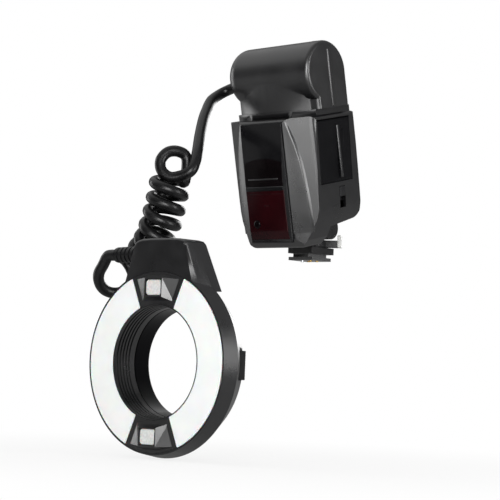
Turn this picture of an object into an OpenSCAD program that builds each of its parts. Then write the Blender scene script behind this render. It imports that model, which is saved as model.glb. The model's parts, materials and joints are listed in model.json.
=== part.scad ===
// Macro ring flash: a shoe-mounted control unit joined by a curly cord to a ring-shaped flash head.
// Millimetres. Origin: centre of the shoe foot's underside. -Y points forward, +Z up.

/* [Control unit] */
// Forward lean of the control unit on its foot, in degrees
unit_lean = 13; // [8:1:16]
// Width of the control unit at its top
unit_w = 66; // [64:1:72]
// Distance from the foot's centre back to the rear face
unit_rear = 17.2; // [14:0.1:18]
// Distance from the foot's centre forward to the front face behind the visor
unit_front = 31.5; // [30:0.5:36]
// Height of the control unit's top face, along its lean
unit_top = 89; // [89:1:100]
// Thickness of the moulded walls
wall = 2; // [1.6:0.1:2.4]
// Half width of the flat front between the cheeks
nose_half_w = 16; // [14:0.5:18]
// Where the cheeks meet the sides, forward of the foot's centre
cheek_y = 22; // [20:0.5:24]
// Height of the chin's underside, along the lean
chin_low = 12; // [11:0.5:13]
// Half width of the chin's underside
chin_half_w = 19; // [18:0.5:21]
// Rounding of the cheeks' upright corners
cheek_round = 6; // [4:0.5:7]
// Rounding of the other outer edges
edge_round = 3; // [2.4:0.1:3.4]
// Rounding of the case's lower rear edge
heel_round = 5.5; // [4:0.5:7]

/* [Visor and windows] */
// How far the visor stands out at its fullest
visor_proud = 3.7; // [2.5:0.1:5]
// Top of the visor
visor_top = 87; // [84:1:88]
// Bottom of the visor
visor_low = 16; // [15:0.5:18]
// Thickness of the two windows
window_t = 1.4; // [1:0.1:1.8]
// Half width of the two windows
window_half_w = 14.6; // [12:0.1:15.4]
// Top of the red window's frame bar
window_split = 49; // [44:1:54]
// Top of the arched upper window
arch_top = 66.5; // [62:0.5:74]
// Diameter of the round sensor lens
sensor_d = 5; // [3:0.5:7]

/* [Lamp-head barrel on top] */
// Radius of the barrel
barrel_r = 17.5; // [17:0.1:18.5]
// Height of the barrel's axis, along the lean
barrel_z = 113.8; // [113:0.1:120]
// Barrel axis forward of the foot's centre
barrel_y = 5.5; // [5:0.5:7]
// Rounding of the barrel's closed end
dome_r = 9; // [6:0.5:10]
// Thickness of the barrel's end cap
end_cap_t = 6; // [5:0.1:7]
// How far the end cap stands proud of the barrel
end_cap_proud = 1.1; // [0.6:0.1:1.5]
// Radius of the flash capacitor
capacitor_r = 11; // [9:0.5:12.5]

/* [Battery bay] */
// Diameter of one battery
battery_d = 14.2; // [13.8:0.1:14.5]
// Length of one battery
battery_l = 50.5; // [49:0.5:50.5]
// Clearance round each battery
battery_fit = 0.2; // [0.1:0.05:0.3]
// Height of the lower row of batteries, along the lean
battery_row_z = 62; // [61:0.5:63]
// Radius of the door's hinge pin
hinge_pin_r = 0.7; // [0.6:0.05:0.8]

/* [Foot] */
// Width of the shoe foot
foot_w = 18.6; // [18.4:0.05:18.7]
// Length of the shoe foot
foot_l = 18; // [17:0.1:18.5]
// Thickness of the shoe foot's plate
foot_t = 2; // [1.8:0.05:2.1]
// Height of the slot that takes the shoe's rails
rail_gap = 2.2; // [2:0.1:2.6]
// Top of the foot's base block
base_top = 8.2; // [8:0.1:8.6]
// Length of the foot's base block
base_l = 21.2; // [20:0.1:22]
// Radius of the cross barrel on the neck
neck_r = 7; // [6:0.1:7.2]
// Half length of the cross barrel
neck_half_l = 15.4; // [14:0.1:15.6]
// Reach of the lock lever from the foot's centre to its tip
lever_reach = 19.2; // [18:0.1:21]
// Turn of the lever at rest, from the right-hand side towards the back, in degrees
lever_rest = 32; // [25:1:40]

/* [Ring head] */
// Front face of the ring, forward of the foot's centre
ring_front = 133; // [131:0.5:134]
// Axis of the ring, below the foot
ring_drop = 65.5; // [64.5:0.5:66]
// Outer radius of the ring's housing at its front rim
ring_r = 51.4; // [51:0.1:52]
// Outer radius of the ring's housing at its seam
seam_r = 53.2; // [52.5:0.1:53.6]
// Outer radius at the rear face
ring_rear_r = 44.5; // [44.2:0.1:45]
// Depth of the ring
ring_depth = 24; // [24:0.5:26]
// Depth of the seam between the front and rear shells
ring_seam = 10; // [9.5:0.1:10]
// Radius of the bore at the front rim
bore_front_r = 31.7; // [31.2:0.1:32.4]
// Radius of the bore at its narrow end
bore_rear_r = 30.6; // [30:0.1:31]
// Half angle of each bezel between the two lamps, in degrees
bezel_half = 23; // [20:1:28]
// Number of grooves in the bore
baffle_grooves = 5; // [3:1:6]
// Height of the top block above the ring's axis
block_h = 69; // [67:0.5:71]
// Half width of the top block at its upper corners
block_half_w = 20; // [18:0.5:21]
// Travel of the release buttons
release_travel = 1.6; // [1.2:0.1:1.7]
// Radius of the male filter thread on the adapter
thread_r = 33.5; // [33:0.1:34]
// Radius of the adapter's flange that the ring turns on
adapter_r = 37; // [36.8:0.05:37.2]

/* [Cord] */
// Diameter of the cord
cord_d = 6.6; // [6:0.1:6.6]
// Radius of a curl, to the middle of the cord
curl_r = 9.2; // [8.9:0.1:9.3]

/* [Hidden] */
$fn = 64;

// Colours
moulded_black = "#1c1c1e";
key_black = "#2c2c2f";
smoke = "#141013";
deep_red = "#4a0c12";
board_green = "#1f5a36";
bright_metal = "#b9bcc0";
diffuser_white = "#f4f4f2";

// Clearances shared by the pieces that fit together
run_fit = 0.05;
key_fit = 0.25;
part_gap = 0.3;
seat = 0.1;

// Control unit, derived
half_w = unit_w / 2;
waist_half_w = half_w - 2.5;
waist_z = 34;
heel_front = 22;
heel_rear = 24.8;
split_y = -cheek_y - 0.2;
collar_top = unit_top + 3.6;
collar_half_w = half_w - 3;
collar_bow_r = 62;
collar_front = unit_front - 7.5;
collar_rear = unit_rear - 1.2;
neck_half_w = collar_half_w - 2;
neck_front = collar_front - 1.4;
neck_rear = barrel_r - barrel_y;

// Battery bay, derived
battery_bore_r = battery_d / 2 + battery_fit;
battery_pitch = 2 * battery_bore_r + 0.4;
bay_y = -4.7;
bay_wall = 0.6;
bay_half = battery_pitch / 2 + battery_bore_r + bay_wall;
bay_low = battery_row_z - battery_bore_r - bay_wall;
bay_high = battery_row_z + battery_pitch + battery_bore_r + bay_wall;
bay_left = -29;
contact_t = 0.5;
battery_left = bay_left + wall + contact_t + 0.1;
battery_right = battery_left + battery_l;
shelf_t = 1.5;
door_low = 48.3;
door_front = -19.5;
door_rear = 10.5;
door_t = 1.8;
hinge_z = unit_top - 4.7;
hinge_x = half_w - 1.7;
hinge_r = 1.5;
hinge_room = 2;
hinge_boss = 2.2;
door_top = hinge_z;

// Rear controls, derived
lcd_half_w = 18;
lcd_low = 60;
lcd_high = 84;
key_r = 2.7;
key_flange = 0.6;
key_proud = 1;
key_travel = 0.8;
upper_row = 50.8;
lower_row = 43.8;
rear_inner = unit_rear - wall;
key_board_y = rear_inner - 4.6;
key_board_t = 1.4;
key_board_half_w = 27;
key_board_drop = 6;
switch_z = lower_row - 1;
post_x = 13;
post_z = lower_row - 1.8;
case_screw_r = 0.7;
case_screw_head_r = 1.3;
case_screw_seat = 1.2;
switch_x = -23.5;
switch_w = 4;
switch_travel = 4.5;

// Door latch, derived
latch_y = 0;
latch_low = 32.3;
latch_high = 45.3;
latch_w = 5;
latch_l = 6;
latch_x = waist_half_w - wall - 0.6;

// Foot, derived
stem_w = 12.2;
stem_l = 17;
rail_top = foot_t + rail_gap;
neck_y = 0.5;
lever_t = 4.2;
neck_z = base_top + lever_t + 2 * part_gap + neck_r;
base_front = -9.7;
bracket_half_w = 13;
bracket_half_l = 6;
bracket_top = neck_z + 16;
bracket_cut_low = 24;
bracket_cut_back = -8;
post_r = 6;
hub_r = 10.5;
hub_low = base_top + part_gap;
hub_high = hub_low + lever_t;
lever_w = 7;
tip_t = 2.3;
tip_top = 16;
lock_pin_r = 1;
lock_pin_y = -6.8;
lock_pin_drop = 1.2;
lock_pin_lift = 1.3;
pin_r = 0.9;
pin_proud = 0.5;
pin_top = 5;
pin_places = [[0, 0], [-3.2, -3], [3.2, -3], [-3.2, 3], [3.2, 3]];
foot_screw_places = [[-4.5, 6], [4.5, 6], [-4.5, -6], [4.5, -6]];
foot_screw_r = 0.8;
foot_screw_head_r = 1.5;

// Ring, derived
rim_wall = 1;
narrow_r = min(ring_r, seam_r);
lamp_room_r = narrow_r - rim_wall;
diffuser_r = lamp_room_r - 0.2;
inner_rim_r = bore_front_r + 0.7;
baffle_r = inner_rim_r + 2;
baffle_lip = 2;
diffuser_t = 1.6;
floor_t = 1.2;
reflector_t = 0.8;
lamp_half = 90 - bezel_half;
tube_r = 2.2;
tube_ring_r = (diffuser_r + inner_rim_r) / 2;
tube_depth = 5;
board_r = tube_ring_r + 4;
board_t = 1.4;
baffle_len = 15.6;
sleeve_r = adapter_r + run_fit;
sleeve_t = 1.2;
plate_front = 18.3;
plate_back = 20.1;
plate_in_r = sleeve_r + sleeve_t + release_travel + part_gap;
plate_out_r = plate_in_r + 1.4;
groove_r = adapter_r - 1.6;
claw_r = adapter_r - 0.9;
claw_w = 6.2;
claw_off = 0.7;
button_half_h = 8;
button_in = plate_out_r + 2 * release_travel + part_gap;
button_out = button_in + 1.6;
button_rib = 0.45;
button_front = 17.8;
button_back = 23.4;
window_front = 14.5;
adapter_front = 16.4;
thread_start = ring_depth + 0.6;
thread_l = 3;
block_edge_x = block_half_w + 13;
block_edge_h = 40;
block_front = 0.4;
block_back = 17;
// Side facets of the block: half width of the front face at two heights, full width at the seam
facet_top_x = block_half_w - 1;
facet_low_x = block_edge_x - 7;
facet_low_h = block_edge_h + 3;
ring_screw_r = narrow_r - 5;
ring_screw_shank_r = 0.9;
ring_screw_head_r = 1.75;
ring_screw_head_t = 1.2;
ring_screw_seat = 15;
ring_boss_r = 2.4;
ring_boss_end = ring_screw_seat + 1.6;
ring_screw_angles = [52, 128, 232, 308];
boot_r = 5;
boot_root_r = 4;
boot_ribs = 6;

// The cord leaves the barrel's closed end, hangs forward and winds into curls beside the ring's block.
cord_exit = [-37, -32, 105.2];
cord_exit_dir = [-1, 0, -0.2];
lead_points = [cord_exit, [-43.5, -32, 103.6], [-47, -36, 100.5], [-46.5, -44, 95.4], [-43, -51.3, 89],
               [-38, -59.6, 81.5], [-30, -70.8, 70], [-22.2, -80.8, 59], [-18.5, -86.4, 51.5],
               [-18.6, -90, 46]];
// First curl stands upright: its centre, radius, and how far it drifts away from the viewer
loop_centre = [-29, -93, 50.5];
loop_r = 8.2;
loop_right = [0.75, 0.66, 0];
loop_near = [0.66, -0.75, 0];
loop_start = 300;
loop_steps = 7;
loop_step = 45;
loop_lead = 2.5;
loop_drift = 9.5;
// One point of the curls' own axis for each turn
curl_axis = [[-30, -94, 42], [-32, -94, 33], [-34, -94, 24.5], [-37, -93.5, 16.5], [-41.5, -92.5, 8],
             [-47.5, -91, 1], [-54.5, -91.5, -5.5], [-58, -107, -15.5], [-36, -124, -17]];
curl_start = 250;
curl_end = 8 * 360 + 45;
curl_rings = 8;
last_curl = 6.4;
last_curl_growth = 1.5;
// The last curl straightens into the boot
boot_end = [-44, -121, -4.8];
tail_points = [[-52.8, -121, -6], [-50.6, -121, -4.9], [-47, -121, -4.8], boot_end];
curl_sides = 6;
lead_sides = 10;

// Small functions
function unit3(v) = v / norm(v);
function cubic(a, b, c, d, f) =
    0.5 * (2 * b + (c - a) * f + (2 * a - 5 * b + 4 * c - d) * f * f + (3 * b - a - 3 * c + d) * f * f * f);
function before(p, i) = i > 0 ? p[i - 1] : 2 * p[0] - p[1];
function after(p, i) = i + 2 < len(p) ? p[i + 2] : 2 * p[len(p) - 1] - p[len(p) - 2];
function along(p, s) =
    let (i = min(floor(s), len(p) - 2))
    cubic(before(p, i), p[i], p[i + 1], after(p, i), s - i);
function heading(p, s) = unit3(along(p, s + 0.02) - along(p, max(0, s - 0.02)));

// Centre line of the cord
function loop_point(k) =
    let (a = loop_start - k * loop_step)
    let (depth = loop_lead - loop_drift * k * loop_step / loop_start)
    loop_centre + loop_r * (loop_right * cos(a) + [0, 0, sin(a)]) + loop_near * depth;
function curl_point(s) =
    let (d = heading(curl_axis, s))
    let (up = unit3(cross(d, [1, 0, 0])))
    let (a = curl_start + 360 * s)
    let (r = curl_r + last_curl_growth * max(0, s - last_curl))
    along(curl_axis, s) + r * (cross(d, up) * cos(a) + up * sin(a));
curl_turns = (curl_end - curl_start) / 360;
curl_count = round(curl_turns * curl_rings);
loop_points = [for (k = [0:loop_steps - 1]) loop_point(k)];
curl_points = [for (i = [0:curl_count]) curl_point(curl_turns * i / curl_count)];
coil_points = concat(loop_points, curl_points, tail_points);
cord_points = concat(lead_points, coil_points);
lead_count = len(lead_points) + 1;
cord_headings = [for (i = [0:len(cord_points) - 1])
    i == 0 ? unit3(cord_exit_dir) :
    i == len(cord_points) - 1 ? [1, 0, 0] :
    unit3(cord_points[i + 1] - cord_points[i - 1])];
function part_of(list, from, to) = [for (i = [from:to]) list[i]];
coil_gaps = [for (i = [0:len(coil_points) - 5]) for (j = [i + 4:len(coil_points) - 1])
    norm(coil_points[i] - coil_points[j]) - cord_d];
echo(least_gap_between_curls = min(coil_gaps));
function path_length(p) = len(p) < 2 ? 0 : [for (i = 1, s = 0; i <= len(p); s = s + (i < len(p) ?
    norm(p[i] - p[i - 1]) : 0), i = i + 1) s][len(p) - 1];
echo(cord_length_along_rings = path_length(cord_points));

// A tube of that radius and number of sides along a line of points, with closed ends
function carried(u, t) = unit3(u - (u * t) * t);
module swept_tube(points, headings, r, sides) {
    n = len(points);
    first = carried([0.3, 0.5, 0.8], headings[0]);
    ups = [for (i = 0, u = first; i < n; u = i + 1 < n ? carried(u, headings[i + 1]) : u, i = i + 1) u];
    ring_points = [for (i = [0:n - 1]) for (k = [0:sides - 1])
        points[i] + r * (ups[i] * cos(360 * k / sides) + cross(headings[i], ups[i]) * sin(360 * k / sides))];
    sides_a = [for (i = [0:n - 2]) for (k = [0:sides - 1])
        [i * sides + k, (i + 1) * sides + k, (i + 1) * sides + (k + 1) % sides]];
    sides_b = [for (i = [0:n - 2]) for (k = [0:sides - 1])
        [i * sides + k, (i + 1) * sides + (k + 1) % sides, i * sides + (k + 1) % sides]];
    start_cap = [for (k = [1:sides - 2]) [0, k, k + 1]];
    last = (n - 1) * sides;
    end_cap = [for (k = [1:sides - 2]) [last, last + k + 1, last + k]];
    polyhedron(ring_points, concat(sides_a, sides_b, start_cap, end_cap));
}

// Frames of the two halves of the flash
module leaned() {
    rotate([unit_lean, 0, 0]) children();
}
// In the ring's frame x is right, y up, and -z the depth behind the front face
module on_ring() {
    translate([0, -ring_front, -ring_drop]) rotate([90, 0, 0]) children();
}
module slab(front, back) {
    translate([0, 0, -back]) linear_extrude(back - front) children();
}
module box(low, high) {
    translate(low) cube(high - low);
}
// A cylinder between two depths of the leaning frame, along its front-to-back axis
module rear_rod(x, z, front, back, r) {
    translate([x, front, z]) rotate([-90, 0, 0]) cylinder(h = back - front, r = r);
}
module side_rod(left, right, y, z, r) {
    translate([left, y, z]) rotate([0, 90, 0]) cylinder(h = right - left, r = r);
}
module two_sided(half) {
    polygon(both_sides(half));
}
module ring_2d(outer, inner) {
    difference() {
        circle(outer);
        circle(inner);
    }
}
// A wedge of the ring's plane, between two angles less than half a turn apart
module wedge(from, to) {
    reach = 90;
    mid = (from + to) / 2;
    polygon([[0, 0], reach * [cos(from), sin(from)], 1.6 * reach * [cos(mid), sin(mid)],
             reach * [cos(to), sin(to)]]);
}

// Outline of the control unit, drawn in by g on every side
function plan_half(g) = [
    [nose_half_w - 0.4 * g, -unit_front + g],
    [half_w - g, -cheek_y + 0.4 * g],
    [half_w - g, unit_rear - g]];
function plan_rounding(g) = [cheek_round - g, cheek_round - g, edge_round - g];
function face_half(g) = [
    [chin_half_w - 0.6 * g, chin_low + g],
    [chin_half_w + 4 - g, chin_low + 4.5 + 0.4 * g],
    [waist_half_w - 1.5 - g, waist_z - 6],
    [waist_half_w - g, waist_z],
    [half_w - g, unit_top - g]];
function face_rounding(g) = [edge_round - g, edge_round - g, 0, 0, edge_round - g];
function side_outline(g) = [
    [-unit_front + g, unit_top - g],
    [-unit_front + g, chin_low + 6.5],
    [-unit_front + 4.5 + 0.5 * g, chin_low + g],
    [-11 - 0.5 * g, chin_low + g],
    [-9 - g, chin_low + 3],
    [-8.3 - 0.6 * g, heel_front + g],
    [unit_rear - g, heel_rear + g],
    [unit_rear - g, unit_top - g]];
function side_rounding(g) =
    [edge_round - g, edge_round - g, edge_round - g, 0, 0, 0, heel_round - g, edge_round - g];
function backwards(list) = [for (i = [len(list) - 1:-1:0]) list[i]];
function both_sides(half) = concat(half, [for (p = backwards(half)) [-p[0], p[1]]]);
module unit_solid(g) {
    plan_round = concat(plan_rounding(g), backwards(plan_rounding(g)));
    face_round = concat(face_rounding(g), backwards(face_rounding(g)));
    intersection() {
        linear_extrude(unit_top - g) rounded(both_sides(plan_half(g)), plan_round);
        rotate([90, 0, 90]) translate([0, 0, -half_w]) linear_extrude(unit_w)
            rounded(side_outline(g), side_rounding(g));
        rotate([90, 0, 0]) translate([0, 0, -unit_rear - 1]) linear_extrude(unit_front + unit_rear + 2)
            rounded(both_sides(face_half(g)), face_round);
    }
}
// An outline whose corners are each rounded by points along an arc of its own radius, or left sharp at 0
module rounded(points, radii) {
    n = len(points);
    polygon([for (i = [0:n - 1])
        each corner_arc(points[(i + n - 1) % n], points[i], points[(i + 1) % n], radii[i])]);
}
corner_steps = 6;
// Points of the arc at corner p between its neighbours a and b
function corner_arc(a, p, b, r) = r <= 0 ? [p] : let(
    u = unit3(a - p),
    v = unit3(b - p),
    half = acos(u * v) / 2,
    centre = p + unit3(u + v) * r / sin(half),
    first = p + u * r / tan(half) - centre,
    last = p + v * r / tan(half) - centre,
    start = atan2(first[1], first[0]),
    raw = atan2(last[1], last[0]) - start,
    turn = raw > 180 ? raw - 360 : raw < -180 ? raw + 360 : raw)
    [for (k = [0:corner_steps])
        centre + r * [cos(start + turn * k / corner_steps), sin(start + turn * k / corner_steps)]];
module front_half_space() {
    box([-half_w - 5, -unit_front - 5, -5], [half_w + 5, split_y, unit_top + 5]);
}

// Casing of the control unit
module front_shell() {
    color(moulded_black) leaned() {
        difference() {
            intersection() {
                unit_solid(0);
                front_half_space();
            }
            unit_solid(wall);
            for (x = [-1, 1])
                rear_rod(x * 12, 20, -unit_front - 1, -unit_front + wall + 1, 1.1);
        }
        for (x = [-1, 1])
            for (z = board_post_rows)
                rear_rod(x * board_post_x, z, -unit_front + wall, main_board_y, board_post_r);
    }
}
main_board_y = -unit_front + 4.7;
main_board_t = 1.6;
main_board_half_w = 18;
main_board_low = 30;
main_board_high = unit_top - 4;
board_post_x = main_board_half_w - 4;
board_post_rows = [main_board_low + 3, main_board_high - 2];
board_post_r = 2;
module door_hole(g) {
    box([hinge_x - 4, door_front - g, door_low - g], [half_w + 1, door_rear + g, hinge_z + hinge_room]);
}
module collar_2d(half, front, rear, bow) {
    intersection() {
        translate([-half, -front - 1]) square([2 * half, front + 1 + rear]);
        translate([0, bow - front]) circle(bow, $fn = 128);
    }
}
module rear_shell() {
    color(moulded_black) leaned() difference() {
        union() {
            difference() {
                intersection() {
                    unit_solid(0);
                    box([-half_w - 5, split_y, -5], [half_w + 5, unit_rear + 5, unit_top + 5]);
                }
                unit_solid(wall);
            }
            intersection() {
                unit_solid(wall / 2);
                union() {
                    box([-half_w, split_y, bay_low - shelf_t], [half_w, rear_inner - 4, bay_low]);
                    for (y = [door_front - part_gap - hinge_boss, door_rear + part_gap])
                        box([hinge_x - 3, y, hinge_z - 2.4], [half_w, y + hinge_boss, unit_top]);
                    for (x = [-post_x, post_x]) {
                        rear_rod(x, post_z, key_board_y, rear_inner + 0.5, 1.5);
                        rear_rod(x + sign(x) * 2, upper_row + 0.4, key_board_y, rear_inner + 0.5, 1.2);
                    }
                }
            }
            difference() {
                translate([0, 0, unit_top - wall / 2]) linear_extrude(collar_top - unit_top + wall / 2)
                    difference() {
                        collar_2d(collar_half_w, collar_front, collar_rear, collar_bow_r);
                        collar_2d(collar_half_w - wall, collar_front - wall, collar_rear - wall,
                                  collar_bow_r - wall);
                    }
                box([-half_w, -unit_front, unit_top - wall], [half_w, split_y, unit_top]);
            }
        }
        door_hole(part_gap);
        translate([hinge_x, door_front - hinge_boss, hinge_z]) rotate([-90, 0, 0])
            cylinder(h = door_rear - door_front + 2 * hinge_boss, r = hinge_pin_r + 0.02);
        box([half_w - 12, latch_y - latch_w / 2 - key_fit, latch_low],
            [half_w + 1, latch_y + latch_w / 2 + key_fit, latch_high]);
        box([-lcd_half_w, rear_inner - 1, lcd_low], [lcd_half_w, unit_rear + 1, lcd_high]);
        for (k = key_places)
            rear_rod(k[0], k[1], rear_inner - 1, unit_rear + 1, key_r + key_fit);
        box([switch_x - switch_w / 2 - key_fit, rear_inner - 1, switch_z - 1.6 - key_fit],
            [switch_x + switch_w / 2 + switch_travel + key_fit, unit_rear + 1, switch_z + 1.6 + key_fit]);
        for (x = [-post_x, post_x]) {
            rear_rod(x, post_z, key_board_y - 1, unit_rear - case_screw_seat, case_screw_r + run_fit);
            rear_rod(x, post_z, unit_rear - case_screw_seat, unit_rear + 1, case_screw_head_r + run_fit);
        }
    }
}
key_places = [[-22, upper_row], [22, upper_row], [-9, upper_row - 2], [0, upper_row - 2], [9, upper_row - 2],
              [22, lower_row]];

// Visor on the front, with the two windows let into it
visor_back = -unit_front;
visor_side_outline = [
    [visor_back, visor_top],
    [visor_back - 0.9, visor_top],
    [visor_back - visor_proud, window_split],
    [visor_back - visor_proud, visor_low + 8],
    [visor_back - 1.6, visor_low],
    [visor_back, visor_low]];
visor_plan_half = [
    [nose_half_w - 1.7, visor_back - visor_proud],
    [nose_half_w - 0.3, visor_back - 1.4],
    [nose_half_w - 0.3, visor_back]];
module visor_solid() {
    intersection() {
        linear_extrude(unit_top) two_sided(visor_plan_half);
        rotate([90, 0, 90]) translate([0, 0, -half_w]) linear_extrude(unit_w) polygon(visor_side_outline);
    }
}
// Room in front of a floor that lies that deep under the visor's face
module window_room(low, high, half, deep) {
    difference() {
        box([-half, -unit_front - visor_proud - 1, low], [half, visor_back - 0.4, high]);
        translate([0, deep, 0]) visor_solid();
    }
}
upper_low = window_split + 1.2;
red_low = visor_low + 2.3;
red_high = window_split - 1.6;
arch_r = 42;
module arch_cut(g) {
    rotate([90, 0, 0]) translate([0, arch_top + g - arch_r, 0])
        cylinder(h = unit_front + visor_proud + 2, r = arch_r, $fn = 128);
}
module visor() {
    color(moulded_black) leaned() difference() {
        visor_solid();
        intersection() {
            window_room(upper_low - seat, arch_top + seat, window_half_w + seat, window_t + seat);
            arch_cut(seat);
        }
        window_room(red_low - seat, red_high + seat, window_half_w + seat, window_t + seat);
        rear_rod(0, 31, -unit_front - visor_proud, -unit_front + 1, 4);
    }
}
module upper_window() {
    color(smoke) leaned() intersection() {
        visor_solid();
        window_room(upper_low, arch_top, window_half_w, window_t);
        arch_cut(0);
    }
}
sensor_x = -8.4;
sensor_z = visor_low + 11.6;
module red_window() {
    color(deep_red) leaned() difference() {
        intersection() {
            visor_solid();
            window_room(red_low, red_high, window_half_w, window_t);
        }
        rear_rod(sensor_x, sensor_z, -unit_front - visor_proud - 1, -unit_front, sensor_d / 2 + 0.05);
    }
}
module sensor_lens() {
    color(smoke) leaned() rear_rod(sensor_x, sensor_z, -unit_front - visor_proud - 0.4,
        -unit_front - visor_proud + window_t, sensor_d / 2);
}
module assist_lamp() {
    color(bright_metal) leaned()
        rear_rod(0, 31, -unit_front - visor_proud + window_t + 0.2, -unit_front - 0.1, 3.6);
}

// Barrel on top of the control unit
module barrel_profile(g) {
    r = barrel_r + end_cap_proud - g;
    translate([-barrel_y, barrel_z]) circle(r);
    translate([-12 + g, collar_top]) square([12 - g - barrel_y + r, barrel_z - collar_top]);
}
barrel_left = -half_w;
capacitor_left = barrel_left + 8;
capacitor_right = half_w - 11;
rib_t = 2;
rib_places = [-17, 13];
cap_x = half_w - end_cap_t;
module barrel_turned(g) {
    r = barrel_r - g;
    d = max(1, dome_r - g);
    length = cap_x - barrel_left - g;
    translate([cap_x, -barrel_y, barrel_z]) rotate([0, -90, 0]) rotate_extrude() {
        square([r, length - d]);
        square([r - d, length]);
        translate([r - d, length - d]) intersection() {
            circle(d);
            square(d);
        }
    }
}
module head_shell() {
    color(moulded_black) difference() {
        leaned() {
            difference() {
                union() {
                    barrel_turned(0);
                    box([barrel_left + dome_r, -barrel_y, collar_top],
                        [cap_x, barrel_r - barrel_y, barrel_z]);
                    translate([0, 0, collar_top]) linear_extrude(barrel_z - collar_top) intersection() {
                        collar_2d(neck_half_w, neck_front, neck_rear, collar_bow_r);
                        translate([-half_w, -unit_front]) square([half_w + cap_x, unit_front + unit_rear]);
                    }
                }
                difference() {
                    barrel_turned(wall);
                    for (x = rib_places)
                        side_rod(x, x + rib_t, -barrel_y, barrel_z, barrel_r);
                }
                side_rod(rib_places[0] - 1, rib_places[1] + rib_t + 1, -barrel_y, barrel_z,
                         capacitor_r + run_fit);
                translate([0, 0, collar_top - 1]) linear_extrude(barrel_z - collar_top - 4)
                    collar_2d(cap_x - wall, neck_front - wall - 2, neck_rear - wall, collar_bow_r - wall);
            }
        }
        along_exit(-9, 20, boot_root_r + run_fit);
    }
}
module along_exit(from, to, r) {
    tilt = atan2(-cord_exit_dir[0], -cord_exit_dir[2]);
    translate(cord_exit) rotate([0, 180 + tilt, 0]) translate([0, 0, from]) cylinder(h = to - from, r = r);
}
cap_groove = cap_x + 2;
cap_groove_w = 0.6;
cap_groove_deep = 1.2;
module cap_layer(from, to, g) {
    rotate([90, 0, 90]) translate([0, 0, from]) linear_extrude(to - from) barrel_profile(g);
}
module head_end_cap() {
    color(moulded_black) leaned() difference() {
        union() {
            cap_layer(cap_x, cap_groove, 0);
            cap_layer(cap_x, half_w, cap_groove_deep);
            cap_layer(cap_groove + cap_groove_w, half_w, 0);
        }
        box([half_w - 0.8, -2.4, collar_top + 2.5], [half_w + 1, 0.4, barrel_z + 13.5]);
    }
}
module flash_capacitor() {
    color("#22324a") leaned() side_rod(capacitor_left, capacitor_right, -barrel_y, barrel_z, capacitor_r);
}
module cord_gland() {
    color(moulded_black) difference() {
        union() {
            along_exit(-7, -3.2, boot_root_r);
            along_exit(-3.3, 0, boot_root_r + 0.9);
        }
        leaned() box([barrel_left, -60, 60], [0, 60, 160]);
    }
    color(moulded_black) along_exit(-8, -3.4, boot_root_r);
}

// Inside the control unit
module main_board() {
    color(board_green) leaned() box([-main_board_half_w, main_board_y, main_board_low],
                                  [main_board_half_w, main_board_y + main_board_t, main_board_high]);
}
module battery_grid() {
    for (y = [bay_y - battery_pitch / 2, bay_y + battery_pitch / 2])
        for (z = [battery_row_z, battery_row_z + battery_pitch])
            translate([0, y, z]) children();
}
module battery_holder() {
    color(key_black) leaned() difference() {
        box([bay_left, bay_y - bay_half, bay_low], [battery_right - 0.2, bay_y + bay_half, bay_high]);
        battery_grid() side_rod(bay_left + wall, half_w, 0, 0, battery_bore_r);
    }
}
module batteries() {
    color(bright_metal) leaned() battery_grid() side_rod(battery_left, battery_right, 0, 0, battery_d / 2);
}
module battery_contacts() {
    color(bright_metal) leaned() battery_grid()
        side_rod(bay_left + wall, bay_left + wall + contact_t, 0, 0, battery_d / 2 - 2);
}
module battery_door() {
    color(moulded_black) leaned() difference() {
        union() {
            intersection() {
                unit_solid(0);
                box([half_w - 12, door_front, door_low], [half_w + 1, door_rear, door_top]);
                door_skin(0);
            }
            translate([hinge_x, door_front, hinge_z]) rotate([-90, 0, 0])
                cylinder(h = door_rear - door_front, r = hinge_r);
        }
        rotate([90, 0, 0]) translate([hinge_x, hinge_z, -door_rear - 1])
            cylinder(h = door_rear - door_front + 2, r = hinge_pin_r + run_fit);
        box([half_w - 0.9, latch_y + 2.2, door_low + 4], [half_w + 1, latch_y + 4.4, hinge_z - 5]);
    }
}
// The sloping side wall's own skin, and all that lies outside it
module door_skin(g) {
    rotate([90, 0, 0]) translate([0, 0, -door_rear - 1]) linear_extrude(door_rear - door_front + 2)
        polygon([[half_w - door_t - g, unit_top], [half_w + 5, unit_top], [half_w + 5, waist_z],
                 [waist_half_w - door_t - g, waist_z]]);
}
module door_contacts() {
    color(bright_metal) leaned() {
        for (y = [bay_y - battery_pitch / 2, bay_y + battery_pitch / 2])
            difference() {
                union() {
                    box([battery_right + 2.4, y - 4, battery_row_z - 4],
                        [battery_right + 3, y + 4, battery_row_z + battery_pitch + 4]);
                    for (z = [battery_row_z, battery_row_z + battery_pitch]) {
                        side_rod(battery_right + part_gap, battery_right + 2.4, y, z, 2.5);
                        side_rod(battery_right + 3, half_w, y, z, 1.5);
                    }
                }
                door_skin(0);
            }
    }
}
module hinge_pin() {
    color(bright_metal) leaned() translate([hinge_x, door_front - hinge_boss + seat, hinge_z])
        rotate([-90, 0, 0]) cylinder(h = door_rear - door_front + 2 * (hinge_boss - seat), r = hinge_pin_r);
}
module door_latch() {
    color(key_black) leaned() {
        box([latch_x - 0.2, latch_y - latch_w / 2, latch_high - latch_l - key_fit],
            [waist_half_w + 0.7, latch_y + latch_w / 2, latch_high - key_fit]);
        box([latch_x - 1.6, latch_y - latch_w / 2 - 1.5, latch_high - 9],
            [latch_x - 0.2, latch_y + latch_w / 2 + 1.5, latch_high + 0.5]);
    }
}

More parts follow.
